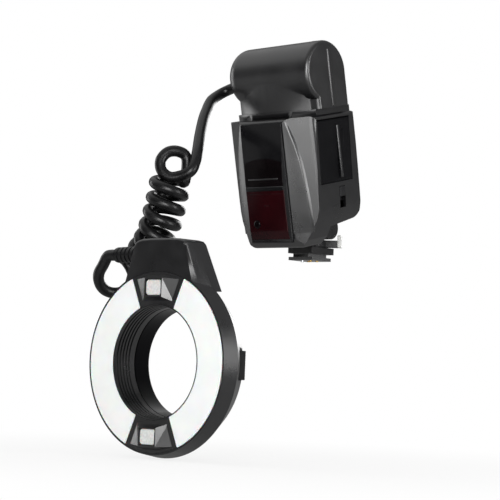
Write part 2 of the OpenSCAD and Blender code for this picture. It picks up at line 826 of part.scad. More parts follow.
// Rear controls
module lcd_window() {
    color(smoke) leaned() box([-lcd_half_w + 0.1, rear_inner + 0.1, lcd_low + 0.1],
                              [lcd_half_w - 0.1, unit_rear - 0.1, lcd_high - 0.1]);
}
module lcd_module() {
    color("#8a9a86") leaned() box([-lcd_half_w - 1, rear_inner - 1.7, lcd_low - 1],
                                  [lcd_half_w + 1, rear_inner - 0.05, lcd_high + 1]);
}
module key_board() {
    color(board_green) leaned() difference() {
        box([-key_board_half_w, key_board_y - key_board_t, lower_row - key_board_drop],
            [key_board_half_w, key_board_y, bay_low - shelf_t - part_gap]);
        for (x = [-post_x, post_x])
            rear_rod(x, post_z, key_board_y - 2, key_board_y + 1, case_screw_r + run_fit);
    }
}
module round_key(place) {
    color(key_black) leaned() {
        rear_rod(place[0], place[1], rear_inner - 0.2, unit_rear + key_proud, key_r);
        rear_rod(place[0], place[1], rear_inner - 1.3, rear_inner - 0.2, key_r + key_flange);
        rear_rod(place[0], place[1], key_board_y + key_travel + 0.15, rear_inner - 1.3, 1);
    }
}
module mode_key() { round_key(key_places[0]); }
module lamp_key() { round_key(key_places[1]); }
module minus_key() { round_key(key_places[2]); }
module set_key() { round_key(key_places[3]); }
module plus_key() { round_key(key_places[4]); }
module test_key() { round_key(key_places[5]); }
module power_switch() {
    color(key_black) leaned() {
        box([switch_x - switch_w / 2, rear_inner - 0.2, switch_z - 1.6],
            [switch_x + switch_w / 2, unit_rear + 1.2, switch_z + 1.6]);
        box([switch_x - switch_w / 2 - 0.8, rear_inner - 1.2, switch_z - 2.6],
            [switch_x + switch_w / 2 + 0.8, rear_inner - 0.2, switch_z + 2.6]);
    }
}
module case_screws() {
    color(bright_metal) leaned() for (x = [-post_x, post_x]) {
        rear_rod(x, post_z, key_board_y - key_board_t - 1, unit_rear - case_screw_seat, case_screw_r);
        rear_rod(x, post_z, unit_rear - case_screw_seat, unit_rear - part_gap, case_screw_head_r);
    }
}

// Foot
module foot_bracket() {
    color(moulded_black) difference() {
        union() {
            side_rod(-neck_half_l, neck_half_l, neck_y, neck_z, neck_r);
            cylinder_between(base_top, neck_z, post_r);
            box([-bracket_half_w, -bracket_half_l, neck_z], [bracket_half_w, bracket_half_l, bracket_top]);
        }
        leaned() unit_solid(0);
        leaned() box([-half_w, -unit_front, bracket_cut_low], [half_w, bracket_cut_back, unit_top]);
    }
}
module cylinder_between(low, high, r) {
    translate([0, 0, low]) cylinder(h = high - low, r = r);
}
module foot_holes() {
    for (p = pin_places)
        translate([p[0], p[1], -1]) cylinder(h = pin_top + 2, r = pin_r + run_fit);
    for (p = foot_screw_places) {
        translate([p[0], p[1], -1]) cylinder(h = 9, r = foot_screw_r + 0.02);
        translate([p[0], p[1], -1]) cylinder(h = 2, r = foot_screw_head_r + 0.05);
    }
    translate([0, lock_pin_y, -1]) cylinder(h = base_top + 2, r = lock_pin_r + run_fit);
}
module foot_base() {
    color(moulded_black) difference() {
        box([-foot_w / 2, base_front, rail_top], [foot_w / 2, base_front + base_l, base_top]);
        foot_holes();
    }
}
module shoe_foot() {
    color(bright_metal) difference() {
        union() {
            box([-foot_w / 2, -foot_l / 2, 0], [foot_w / 2, foot_l / 2, foot_t]);
            box([-stem_w / 2, -stem_l / 2, foot_t], [stem_w / 2, stem_l / 2, rail_top]);
        }
        foot_holes();
    }
}
module foot_screws() {
    color(bright_metal) for (p = foot_screw_places) {
        translate([p[0], p[1], 1]) cylinder(h = 6.6, r = foot_screw_r);
        translate([p[0], p[1], 0.1]) cylinder(h = 0.9, r = foot_screw_head_r);
    }
}
module contact_pins() {
    color("#c9a64a") for (p = pin_places)
        translate([p[0], p[1], -pin_proud]) cylinder(h = pin_top + pin_proud, r = pin_r);
}
module lock_lever() {
    color(key_black) difference() {
        union() {
            cylinder_between(hub_low, hub_high, hub_r);
            rotate(lever_rest)
                box([post_r + 2, -lever_w / 2, hub_low], [lever_reach - tip_t, lever_w / 2, hub_high]);
        }
        cylinder_between(0, hub_high + 1, post_r + run_fit);
    }
}
module lever_tip() {
    color("#c8c8c6") rotate(lever_rest) box([lever_reach - tip_t, -lever_w / 2, hub_low],
                                            [lever_reach, lever_w / 2, tip_top]);
}
module lock_pin() {
    color(bright_metal) translate([0, lock_pin_y, -lock_pin_drop])
        cylinder(h = base_top - lock_pin_lift - 0.2 + lock_pin_drop, r = lock_pin_r);
}

// Cord
module cord_lead() {
    color(moulded_black) swept_tube(part_of(cord_points, 0, lead_count - 1),
        part_of(cord_headings, 0, lead_count - 1), cord_d / 2, lead_sides);
}
module cord_coil() {
    color(moulded_black) swept_tube(part_of(cord_points, lead_count - 1, len(cord_points) - 1),
        part_of(cord_headings, lead_count - 1, len(cord_points) - 1), cord_d / 2, curl_sides);
}
block_side_x = block_half_w + (block_edge_x - block_half_w) * (block_h - 3 - boot_end[2] - ring_drop)
    / (block_h - 3 - block_edge_h);
module cord_boot() {
    length = -block_side_x - boot_end[0] + 4;
    step = (length - 6) / boot_ribs;
    color(moulded_black) {
        difference() {
            translate(boot_end) rotate([0, 90, 0]) rotate_extrude() {
                square([cord_d / 2 + 0.9, length]);
                for (k = [0:boot_ribs - 1])
                    translate([0, 1 + k * step]) square([boot_r - 0.5 + 0.1 * k, step - 1.2]);
                translate([0, length - 6]) square([boot_r + 0.4, 6]);
            }
            on_ring() slab(0, block_back) two_sided(block_half);
        }
        translate([-block_side_x - 4, boot_end[1], boot_end[2]]) rotate([0, 90, 0])
            cylinder(h = 8, r = boot_root_r);
    }
}

// Ring head
block_half = [[block_edge_x, block_edge_h], [block_half_w, block_h - 3], [block_half_w - 2, block_h - 1.2],
              [block_half_w - 6, block_h - 0.3], [block_half_w - 12, block_h]];
function drawn_in(points, g) = [for (p = points) [p[0] - g, p[1] - g]];
function shell_r(depth) = seam_r - (seam_r - ring_rear_r) * (depth - ring_seam) / (ring_depth - ring_seam);
function rim_r(depth) = ring_r + (seam_r - ring_r) * depth / ring_seam;
module boot_hole() {
    translate([-70, boot_end[2] + ring_drop, -ring_front - boot_end[1]])
        rotate([0, 90, 0]) cylinder(h = 66, r = boot_root_r + run_fit);
}
module ring_front_shell() {
    color(moulded_black) on_ring() difference() {
        union() {
            difference() {
                translate([0, 0, -ring_seam])
                    cylinder(h = ring_seam - block_front, r1 = seam_r, r2 = rim_r(block_front));
                slab(0, ring_seam + 1) circle(lamp_room_r);
            }
            slab(ring_seam - floor_t, ring_seam) ring_2d(narrow_r - 0.5, baffle_r + part_gap);
            difference() {
                block_body(0, block_front, ring_seam);
                slab(0, ring_seam + 1) circle(narrow_r - 0.4);
                block_room(block_front + wall, ring_seam + 1);
            }
        }
        boot_hole();
        for (a = ring_screw_angles)
            rotate(a) translate([ring_screw_r, 0, -ring_seam - 1])
                cylinder(h = floor_t + 1.2, r = ring_screw_shank_r + run_fit);
    }
}
// The block between two depths, drawn in by g, with a facet on each side that widens to the seam
module block_body(g, front, back) {
    difference() {
        slab(front, back) two_sided(drawn_in(block_half, g));
        for (s = [0, 1]) mirror([s, 0, 0]) facet_cut(g);
    }
}
module facet_cut(g) {
    lean = (facet_low_x - facet_top_x) / (block_h - 3 - facet_low_h);
    turn = atan(lean);
    front_x = (facet_top_x + lean * (block_h - 3)) * cos(turn) - g;
    seam_x = (block_edge_x + lean * block_edge_h) * cos(turn) - g;
    flare = (seam_x - front_x) / (ring_seam - block_front);
    reach = 2 * block_h;
    rotate([0, 0, turn]) rotate([90, 0, 0]) translate([0, 0, -reach]) linear_extrude(2 * reach)
        polygon([[front_x - flare, 1 - block_front], [reach, 1 - block_front], [reach, -ring_seam],
                 [seam_x, -ring_seam]]);
}
module block_room(front, back) {
    difference() {
        block_body(wall, front, back);
        slab(front - 1, back + 1) circle(seam_r + wall);
    }
}
module taper(g, front, back) {
    translate([0, 0, -back]) cylinder(h = back - front, r1 = shell_r(back) - g, r2 = shell_r(front) - g);
}
module ring_rear_shell() {
    color(moulded_black) on_ring() difference() {
        union() {
            difference() {
                union() {
                    taper(0, ring_seam, ring_depth);
                    slab(ring_seam, block_back) two_sided(block_half);
                }
                difference() {
                    union() {
                        taper(wall, ring_seam - 0.5, ring_depth - wall);
                        block_room(ring_seam - 1, block_back - wall);
                    }
                    slab(adapter_front - 0.2, ring_depth) circle(sleeve_r + sleeve_t);
                    for (a = ring_screw_angles) rotate(a) slab(ring_seam, ring_boss_end) {
                        translate([ring_screw_r, 0]) circle(ring_boss_r);
                        translate([ring_screw_r, -ring_boss_r])
                            square([seam_r - ring_screw_r, 2 * ring_boss_r]);
                    }
                    for (a = [20:35:160])
                        for (s = [0, 180])
                            rotate(a + s) translate([plate_in_r + 0.7, 0, -ring_depth])
                                cylinder(h = ring_depth - plate_back - part_gap, r = 1);
                }
            }
        }
        slab(0, ring_depth + 1) circle(sleeve_r);
        boot_hole();
        for (s = [0, 180]) rotate(s) {
            slab(plate_front - part_gap, plate_back + part_gap) translate([claw_r - 4, claw_off - 0.3])
                square([10, claw_w + 0.6]);
            slab(window_front, ring_depth - 0.4)
                translate([button_in - release_travel - part_gap, -button_half_h - part_gap])
                    square([20, 2 * button_half_h + 2 * part_gap]);
        }
        for (a = ring_screw_angles) rotate(a) {
            translate([ring_screw_r, 0, -ring_depth])
                cylinder(h = ring_depth - ring_seam + 1, r = ring_screw_shank_r + run_fit);
            translate([ring_screw_r, 0, -ring_depth - 1])
                cylinder(h = ring_depth + 1 - ring_screw_seat, r = ring_screw_head_r + seat);
        }
    }
}
module lamp_sector(from, to, outer, inner) {
    intersection() {
        ring_2d(outer, inner);
        wedge(from, to);
    }
}
module diffuser(middle) {
    color(diffuser_white) on_ring() rotate(middle) slab(0, diffuser_t)
        lamp_sector(-lamp_half + 0.2, lamp_half - 0.2, diffuser_r, inner_rim_r);
}
module right_diffuser() { diffuser(0); }
module left_diffuser() { diffuser(180); }
// The lamp takes half of the band's width
led_half = 5.75;
led_proud = 3.4;
led_half_r = (diffuser_r - inner_rim_r) / 4;
led_mid = tube_ring_r;
bezel_t = 3.4;
module bezel(middle) {
    color(moulded_black) on_ring() rotate(middle) difference() {
        union() {
            bezel_blank();
            lamp_crown();
        }
        slab(-led_proud - 1, bezel_t + 1) translate([led_mid - led_half_r, -led_half])
            square([2 * led_half_r, 2 * led_half]);
    }
}
// Four slopes that rise from the bezel's flat border to the lamp's window
crown_rim = 0.8;
crown_root = 0.5;
crown_in = inner_rim_r + 1.2;
crown_out_r = diffuser_r - 1.2;
crown_corner = bezel_half - 2.5;
crown_bend = 7;
crown_in_half = crown_in * tan(bezel_half) - 2.2;
module lamp_crown() {
    top_in = led_mid - led_half_r - crown_rim;
    top_out = led_mid + led_half_r + crown_rim;
    top_half = led_half + crown_rim;
    low = -part_gap - crown_root;
    polyhedron(
        points = [
            for (a = [-crown_corner, -crown_bend, crown_bend, crown_corner])
                [crown_out_r * cos(a), crown_out_r * sin(a), low],
            [crown_in, crown_in_half, low], [crown_in, -crown_in_half, low],
            [top_out, -top_half, led_proud], [top_out, top_half, led_proud],
            [top_in, top_half, led_proud], [top_in, -top_half, led_proud]],
        faces = [
            [5, 0, 1, 2, 3, 4], [8, 7, 6, 9], [5, 9, 6], [5, 6, 0], [0, 6, 1], [1, 6, 7, 2], [2, 7, 3],
            [3, 7, 4], [7, 8, 4], [4, 8, 9, 5]]);
}
// The bezel's blank steps back from the bore's lining behind its lip
module bezel_blank() {
    slab(part_gap, baffle_lip - part_gap) lamp_sector(-bezel_half, bezel_half, diffuser_r, inner_rim_r);
    slab(part_gap, bezel_t) lamp_sector(-bezel_half, bezel_half, diffuser_r, baffle_r + part_gap);
}
module top_bezel() { bezel(90); }
module bottom_bezel() { bezel(270); }
module led_lamps() {
    color(diffuser_white) on_ring() for (a = [90, 270]) rotate(a)
        slab(-led_proud + 0.3, bezel_t - 0.2) translate([led_mid - led_half_r + seat, -led_half + seat])
            square([2 * (led_half_r - seat), 2 * (led_half - seat)]);
}
module reflector(middle) {
    color(bright_metal) on_ring() rotate(middle) difference() {
        slab(diffuser_t + 0.1, ring_seam - floor_t - 0.1)
            lamp_sector(-lamp_half + 1, lamp_half - 1, diffuser_r - 0.1, baffle_r + part_gap);
        slab(0, ring_seam - floor_t - 0.1 - reflector_t)
            lamp_sector(-lamp_half + 3, lamp_half - 3, diffuser_r - 0.1 - reflector_t,
                        baffle_r + part_gap + reflector_t);
        translate([0, 0, -tube_depth]) rotate(-lamp_half - 2) rotate_extrude(angle = 2 * lamp_half + 4)
            translate([tube_ring_r, 0]) circle(tube_r + run_fit);
    }
}
module right_reflector() { reflector(0); }
module left_reflector() { reflector(180); }
module flash_tube(middle) {
    color("#dfe8ea") on_ring() rotate(middle - lamp_half + 1.4) translate([0, 0, -tube_depth])
        rotate_extrude(angle = 2 * lamp_half - 2.8) translate([tube_ring_r, 0]) circle(tube_r);
}
module right_flash_tube() { flash_tube(0); }
module left_flash_tube() { flash_tube(180); }
baffle_step = 2.2;
module bore_baffle() {
    slope = (bore_front_r - bore_rear_r) / baffle_len;
    color(moulded_black) on_ring() rotate_extrude($fn = 96) difference() {
        polygon([[bore_front_r, -0.2], [inner_rim_r - seat, -0.2], [inner_rim_r - seat, -baffle_lip],
                 [baffle_r, -baffle_lip], [baffle_r, -baffle_len], [bore_rear_r, -baffle_len]]);
        for (k = [0:baffle_grooves - 1]) {
            depth = 2.6 + k * baffle_step;
            translate([bore_front_r - slope * depth - 1, -depth - 0.55]) square([1.9, 1.1]);
        }
    }
}
module ring_board() {
    color(board_green) on_ring() difference() {
        slab(ring_seam, ring_seam + board_t) ring_2d(board_r, baffle_r + 0.8);
        boot_hole();
        for (a = ring_screw_angles)
            rotate(a) slab(0, ring_depth) {
                translate([ring_screw_r, 0]) circle(ring_boss_r + part_gap);
                translate([ring_screw_r, -ring_boss_r - part_gap])
                    square([seam_r - ring_screw_r, 2 * (ring_boss_r + part_gap)]);
            }
    }
}
module ring_screws() {
    color(bright_metal) on_ring() for (a = ring_screw_angles) rotate(a) translate([ring_screw_r, 0, 0]) {
        translate([0, 0, -ring_screw_seat])
            cylinder(h = ring_screw_seat - ring_seam + floor_t - 0.2, r = ring_screw_shank_r);
        translate([0, 0, -ring_screw_seat - ring_screw_head_t])
            cylinder(h = ring_screw_head_t, r = ring_screw_head_r);
    }
}
// One release: a ribbed button outside, and a C-shaped plate whose claw is on the far side
module release_button(side) {
    color(key_black) on_ring() rotate(side) {
        slab(button_front, button_back) translate([button_in, -button_half_h])
            square([button_out - button_in, 2 * button_half_h]);
        for (k = [-5:1:5])
            slab(button_front + 0.4, button_back - 0.4) translate([button_out - 0.05, k * 1.4 - 0.35])
                square([button_rib + 0.05, 0.7]);
    }
}
module right_release() { release_button(0); }
module left_release() { release_button(180); }
module latch_plate(side) {
    color(bright_metal) on_ring() rotate(side) slab(plate_front, plate_back) difference() {
        union() {
            intersection() {
                ring_2d(plate_out_r, plate_in_r);
                translate([-60, -120 - claw_off]) square([120, 120]);
            }
            translate([plate_in_r, -claw_off - claw_w])
                square([button_in - plate_in_r, claw_w]);
            translate([-plate_out_r, -claw_off - claw_w]) square([plate_out_r - claw_r + 0.4, claw_w]);
        }
        circle(claw_r);
    }
}
module right_latch_plate() { latch_plate(0); }
module left_latch_plate() { latch_plate(180); }
module adapter_ring() {
    color(key_black) on_ring() rotate_extrude($fn = 96) polygon([
        [bore_rear_r, -adapter_front], [adapter_r, -adapter_front], [adapter_r, -plate_front + part_gap],
        [groove_r, -plate_front + part_gap], [groove_r, -plate_back - part_gap],
        [adapter_r, -plate_back - part_gap], [adapter_r, -ring_depth + 1.2],
        [thread_r + 1.4, -ring_depth + 1.2],
        [thread_r + 1.4, -thread_start], [thread_r, -thread_start], [thread_r, -thread_start - thread_l],
        [bore_rear_r, -thread_start - thread_l]]);
}

front_shell();
rear_shell();
visor();
upper_window();
red_window();
sensor_lens();
assist_lamp();
head_shell();
head_end_cap();
flash_capacitor();
cord_gland();
main_board();
battery_holder();
batteries();
battery_contacts();
battery_door();
door_contacts();
hinge_pin();
door_latch();
lcd_window();
lcd_module();
key_board();
mode_key();
lamp_key();
minus_key();
set_key();
plus_key();
test_key();
power_switch();
case_screws();
foot_bracket();
foot_base();
shoe_foot();
foot_screws();
contact_pins();
lock_lever();
lever_tip();
lock_pin();
cord_lead();
cord_coil();
cord_boot();
ring_front_shell();
ring_rear_shell();
left_diffuser();
right_diffuser();
top_bezel();
bottom_bezel();
led_lamps();
left_flash_tube();
right_flash_tube();
left_reflector();
right_reflector();
bore_baffle();
ring_board();
ring_screws();
left_release();
right_release();
left_latch_plate();
right_latch_plate();
adapter_ring();
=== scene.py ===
# %% [markdown]
# # A macro ring flash, dressed in Blender
# The flash has three parts: a control unit that stands on a shoe foot, a curly cord, and a ring-shaped
# head that turns on a lens adapter. The solids come in as a fixed frame, in metres, and this lesson gives
# them softened edges, finishes, light and a camera. Nothing on the object carries lettering.

# %% Load the solids
import json
import math

import bmesh
import bpy
from mathutils import Matrix, Vector

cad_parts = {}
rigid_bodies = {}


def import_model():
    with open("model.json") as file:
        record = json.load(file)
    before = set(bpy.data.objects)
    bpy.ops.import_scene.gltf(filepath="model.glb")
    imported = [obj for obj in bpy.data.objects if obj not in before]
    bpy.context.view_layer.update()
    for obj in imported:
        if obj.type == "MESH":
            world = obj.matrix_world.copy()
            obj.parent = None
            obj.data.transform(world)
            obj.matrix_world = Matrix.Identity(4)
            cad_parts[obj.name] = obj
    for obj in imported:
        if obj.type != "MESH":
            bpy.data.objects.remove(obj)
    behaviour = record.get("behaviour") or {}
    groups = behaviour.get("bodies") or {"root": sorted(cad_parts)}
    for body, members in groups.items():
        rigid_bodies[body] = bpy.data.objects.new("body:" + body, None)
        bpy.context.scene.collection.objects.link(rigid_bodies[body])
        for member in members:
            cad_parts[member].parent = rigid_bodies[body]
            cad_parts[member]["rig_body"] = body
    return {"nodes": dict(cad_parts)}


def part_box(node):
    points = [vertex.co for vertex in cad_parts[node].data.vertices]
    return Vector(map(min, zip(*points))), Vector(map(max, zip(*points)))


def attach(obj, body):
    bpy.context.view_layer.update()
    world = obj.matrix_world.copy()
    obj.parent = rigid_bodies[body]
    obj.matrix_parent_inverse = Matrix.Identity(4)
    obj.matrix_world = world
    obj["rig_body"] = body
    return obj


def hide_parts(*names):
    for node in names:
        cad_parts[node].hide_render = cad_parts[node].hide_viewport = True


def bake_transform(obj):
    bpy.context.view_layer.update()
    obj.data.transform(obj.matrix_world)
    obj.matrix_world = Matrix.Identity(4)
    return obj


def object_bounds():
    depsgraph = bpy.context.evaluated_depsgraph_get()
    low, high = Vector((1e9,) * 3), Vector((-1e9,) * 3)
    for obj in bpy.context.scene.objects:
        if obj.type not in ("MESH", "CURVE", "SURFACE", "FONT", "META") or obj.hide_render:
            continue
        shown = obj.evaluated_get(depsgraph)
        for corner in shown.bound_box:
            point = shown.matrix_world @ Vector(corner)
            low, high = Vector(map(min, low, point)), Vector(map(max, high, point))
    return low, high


for leftover in list(bpy.data.objects):
    bpy.data.objects.remove(leftover)
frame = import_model()
nodes = frame["nodes"]
cad_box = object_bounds()
MM = 0.001

# %% [markdown]
# ## The camera
# The photograph was taken with a long lens, slightly from below and 41 degrees to the right of the front.
# The camera could be aimed by a Track To constraint, but its small roll is easier to give as a matrix:
# the axes to the right, up and back are worked out from three angles.

# %% Place the camera
def linked(name, data):
    """A new object in the scene, at the origin and unturned."""
    piece = bpy.data.objects.new(name, data)
    bpy.context.scene.collection.objects.link(piece)
    return piece


def camera_matrix(place, azimuth, elevation, roll):
    a, e, r = (math.radians(x) for x in (azimuth, elevation, roll))
    back = Vector((math.sin(a) * math.cos(e), -math.cos(a) * math.cos(e), math.sin(e)))
    right = Vector((math.cos(a), math.sin(a), 0))
    up = back.cross(right)
    axes = (right * math.cos(r) + up * math.sin(r), up * math.cos(r) - right * math.sin(r), back)
    return Matrix.Translation(place) @ Matrix(axes).transposed().to_4x4()


camera = linked("camera", bpy.data.cameras.new("camera"))
camera.matrix_world = camera_matrix((0.71661, -0.88015, -0.0681), azimuth=41, elevation=-3.7, roll=2.3)
sensor_mm, focal_pixels, picture_pixels = 36, 1863, 500
camera.data.sensor_width = sensor_mm
camera.data.lens = sensor_mm * focal_pixels / picture_pixels
camera.data.clip_start = 0.05
bpy.context.scene.camera = camera
print("camera", [round(x, 3) for x in camera.location], round(camera.data.lens, 1), "mm")

# %% [markdown]
# ## The curly cord's line
# The cord leaves the barrel's closed end, slants down in front of the case, makes one upright loop and
# then seven curls, and goes into the ring's strain relief. Its curls are a helix whose axis is itself a
# curve, so a point on it needs the axis, its heading, and an angle that runs 360 degrees per curl.

# %% Points of the cord
def between(p0, p1, p2, p3, t):
    """A point of the smooth curve that passes p1 at t = 0 and p2 at t = 1."""
    return 0.5 * (2 * p1 + (p2 - p0) * t + (2 * p0 - 5 * p1 + 4 * p2 - p3) * t * t
                  + (3 * p1 - p0 - 3 * p2 + p3) * t * t * t)


def along(points, s):
    """A point of the smooth curve through the points, s counted in points from the first."""
    k = min(max(int(s), 0), len(points) - 2)
    before = points[k - 1] if k > 0 else 2 * points[0] - points[1]
    after = points[k + 2] if k + 2 < len(points) else 2 * points[-1] - points[-2]
    return between(before, points[k], points[k + 1], after, s - k)


cord_d = 6.6
curl_r = 9.2
lead = [(-37, -32, 105.2), (-43.5, -32, 103.6), (-47, -36, 100.5), (-46.5, -44, 95.4), (-43, -51.3, 89),
        (-38, -59.6, 81.5), (-30, -70.8, 70), (-22.2, -80.8, 59), (-18.5, -86.4, 51.5), (-18.6, -90, 46)]
curl_axis = [(-30, -94, 42), (-32, -94, 33), (-34, -94, 24.5), (-37, -93.5, 16.5), (-41.5, -92.5, 8),
             (-47.5, -91, 1), (-54.5, -91.5, -5.5), (-58, -107, -15.5), (-36, -124, -17)]
tail = [(-52.8, -121, -6), (-50.6, -121, -4.9), (-47, -121, -4.8), (-44, -121, -4.8)]
lead, curl_axis, tail = ([Vector(p) for p in row] for row in (lead, curl_axis, tail))

loop_middle, loop_r = Vector((-29, -93, 50.5)), 8.2
loop_across, loop_on, loop_up = Vector((0.75, 0.66, 0)), Vector((0.66, -0.75, 0)), Vector((0, 0, 1))
loop_from, loop_step, loop_ahead, loop_drift = 300, 45, 2.5, 9.5
loop = []
for k in range(7):
    a = math.radians(loop_from - loop_step * k)
    loop.append(loop_middle + loop_r * (loop_across * math.cos(a) + loop_up * math.sin(a))
                + loop_on * (loop_ahead - loop_drift * loop_step * k / loop_from))

turns, points_per_turn, first_angle = 7.4306, 12, 250
widens_after, widens_by = 6.4, 1.5
curls = []
for k in range(math.floor(turns * points_per_turn) + 1):
    s = k / points_per_turn
    heading = along(curl_axis, s + 0.02) - along(curl_axis, max(0, s - 0.02))
    heading.normalize()
    over = heading.cross(Vector((1, 0, 0))).normalized()
    a = math.radians(first_angle + 360 * s)
    curls.append(along(curl_axis, s) + (curl_r + widens_by * max(0, s - widens_after))
                 * (heading.cross(over) * math.cos(a) + over * math.sin(a)))
stops = lead + loop + curls + tail
finer = 6
cord_line = [along(stops, k / finer) * MM for k in range((len(stops) - 1) * finer + 1)]

# %% [markdown]
# ## The cord itself
# A cord is a round section that follows a line. A curve object with a bevel does exactly that, so it is
# made as a curve, and then turned into a mesh. One end belongs to the control unit and the other to the ring
# head.

# %% Make the cord
def swept(name, line, radius):
    """A round bar along a line, in metres, as one smooth mesh object."""
    curve = bpy.data.curves.new(name, "CURVE")
    curve.dimensions = "3D"
    curve.bevel_depth = radius
    curve.bevel_resolution = 5
    curve.use_fill_caps = True
    spline = curve.splines.new("POLY")
    spline.points.add(len(line) - 1)
    for point, place in zip(spline.points, line):
        point.co = (*place, 1)
    sketch = linked(name + "_sketch", curve)
    bpy.context.view_layer.update()
    mesh = bpy.data.meshes.new_from_object(sketch.evaluated_get(bpy.context.evaluated_depsgraph_get()))
    bpy.data.objects.remove(sketch)
    mesh.name = name
    mesh.polygons.foreach_set("use_smooth", [True] * len(mesh.polygons))
    return linked(name, mesh)


curly_cord = swept("curly_cord", cord_line, cord_d / 2 * MM)
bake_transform(curly_cord)
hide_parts("cord_lead", "cord_coil")
print("cord mesh", len(curly_cord.data.polygons), "faces")

# %% [markdown]
# ## Tools for finishes
# A finish is a small network of shader nodes. Colours are written as sRGB hex values and turned into the
# linear values that a shader wants by one function. One function adds a node, sets what it is given and
# links what it is given as a socket.

# %% Colour and node helpers
def linear(code):
    parts = [int(code[i:i + 2], 16) / 255 for i in (1, 3, 5)]
    return [*(c / 12.92 if c <= 0.04045 else ((c + 0.055) / 1.055) ** 2.4 for c in parts), 1]


def add_node(tree, kind, inputs=None, **settings):
    node = tree.nodes.new(kind)
    for name, value in settings.items():
        setattr(node, name, value)
    for name, value in (inputs or {}).items():
        if isinstance(value, bpy.types.NodeSocket):
            tree.links.new(value, node.inputs[name])
        else:
            node.inputs[name].default_value = value
    return node


def new_finish(name):
    """An empty material, with the place on the surface as its only node."""
    finish = bpy.data.materials.new(name)
    finish.use_nodes = True
    finish.node_tree.nodes.clear()
    place = add_node(finish.node_tree, "ShaderNodeTexCoord").outputs["Object"]
    return finish, finish.node_tree, place


def close_finish(tree, **sockets):
    """Ends a finish in one Principled shader; the socket names come with _ for a space."""
    inputs = {name.replace("_", " "): value for name, value in sockets.items()}
    shader = add_node(tree, "ShaderNodeBsdfPrincipled", inputs)
    add_node(tree, "ShaderNodeOutputMaterial", {"Surface": shader.outputs["BSDF"]})


print("white is", [round(c, 3) for c in linear("#ffffff")], "and mid grey", round(linear("#808080")[0], 3))

# %% [markdown]
# ## What most finishes share
# Nearly every surface has a speckle of some size, two tones of one colour, a roughness that changes a
# little from place to place, and a fine relief. Each of these is one node with its usual settings. Sizes
# are in millimetres.

# %% Shared parts of a finish
def noise(tree, place, size_mm, detail):
    inputs = {"Vector": place, "Scale": 1 / (size_mm * MM), "Detail": detail}
    return add_node(tree, "ShaderNodeTexNoise", inputs).outputs["Fac"]


def two_tones(tree, value, dark, pale, low=0.3, high=0.7):
    """Goes from the first colour to the second as the value goes from low to high."""
    ramp = add_node(tree, "ShaderNodeValToRGB", {"Fac": value})
    for stop, code, at in zip(ramp.color_ramp.elements, (dark, pale), (low, high)):
        stop.color, stop.position = linear(code), at
    return ramp.outputs["Color"]


def roughened(tree, value, shiny, dull):
    """Goes from shiny to dull as the value goes from 0.3 to 0.7."""
    limits = {"Value": value, "From Min": 0.3, "From Max": 0.7, "To Min": shiny, "To Max": dull}
    return add_node(tree, "ShaderNodeMapRange", limits).outputs["Result"]


def relief(tree, height, strength, deep_mm):
    inputs = {"Height": height, "Strength": strength, "Distance": deep_mm * MM}
    return add_node(tree, "ShaderNodeBump", inputs).outputs["Normal"]


print("shared parts: noise, two tones, roughness, relief")

# %% [markdown]
# ## Moulded black plastic
# The shells are black ABS. The mould's steel was eroded by sparks, which leaves a grit of about 0.2 mm on
# the skin: the highlights turn soft and a little grainy. The grit could be modelled, but it is far finer
# than a pixel, so it is a noise in the bump, drawn at 0.6 mm to show at all. A slower noise of some
# 12 mm shifts the colour and the gloss, as handling does. The mask's mould was polished, so its gloss is
# higher, and the battery door's was the coarsest.

# %% Moulded plastics
def moulded(name, dark, pale, gloss, grit_mm, depth, specular=0.5):
    finish, tree, place = new_finish(name)
    handling = noise(tree, place, 12, 5)
    close_finish(tree, Base_Color=two_tones(tree, handling, dark, pale, 0.35, 0.68),
                 Roughness=roughened(tree, handling, gloss - 0.04, gloss + 0.04),
                 Normal=relief(tree, noise(tree, place, grit_mm, 3), depth, 0.1),
                 Specular_IOR_Level=specular, IOR=1.53)
    return finish


satin_abs = moulded("satin_black_abs", "#0b0b0d", "#0f0f11", 0.3, 0.6, 0.07, 0.9)
smooth_abs = moulded("smooth_black_abs", "#0b0b0d", "#0f0f11", 0.34, 0.6, 0.04, 1)
gloss_abs = moulded("gloss_black_abs", "#0b0b0d", "#0f0f11", 0.2, 0.6, 0.02, 0.45)
matt_abs = moulded("matt_black_abs", "#0d0d0f", "#111113", 0.5, 0.6, 0.35, 0.08)
grey_abs = moulded("light_grey_abs", "#c2c2bf", "#cccccb", 0.45, 0.6, 0.2)
key_rubber = moulded("black_silicone_rubber", "#131314", "#18181a", 0.5, 0.5, 0.3, 0.3)
plastics = (satin_abs, smooth_abs, gloss_abs, matt_abs, grey_abs, key_rubber)
print("moulded finishes", [finish.name for finish in plastics])

# %% [markdown]
# ## The cord's jacket
# The jacket is extruded polyurethane. It leaves the die smooth and satin, with faint drag marks along the
# cord and a bloom that makes some places duller. Marks that follow the cord would need a UV map, so they
# are a fine isotropic noise, which on a 6.6 mm cord looks the same.

# %% Cord jacket
cord_jacket, tree, place = new_finish("extruded_polyurethane")
bloom = noise(tree, place, 9, 4)
close_finish(tree, Base_Color=two_tones(tree, bloom, "#0e0e0f", "#141415"),
             Roughness=roughened(tree, bloom, 0.26, 0.36),
             Normal=relief(tree, noise(tree, place, 0.9, 2), 0.1, 0.1), Specular_IOR_Level=0.35, IOR=1.5)
print("jacket", cord_jacket.name)

# %% [markdown]
# ## Windows
# The two windows in the mask are polished acrylic: deep red over the focusing lamp, smoked above it. The
# skin is nearly as smooth as glass, so most of what one sees is the reflection over a nearly black body. A
# faint cloud in the colour stands for the depth of the dyed plastic, and a slight wave in the bump for the
# moulding's sink. The display on the back is a grey-green cell behind a clear cover.

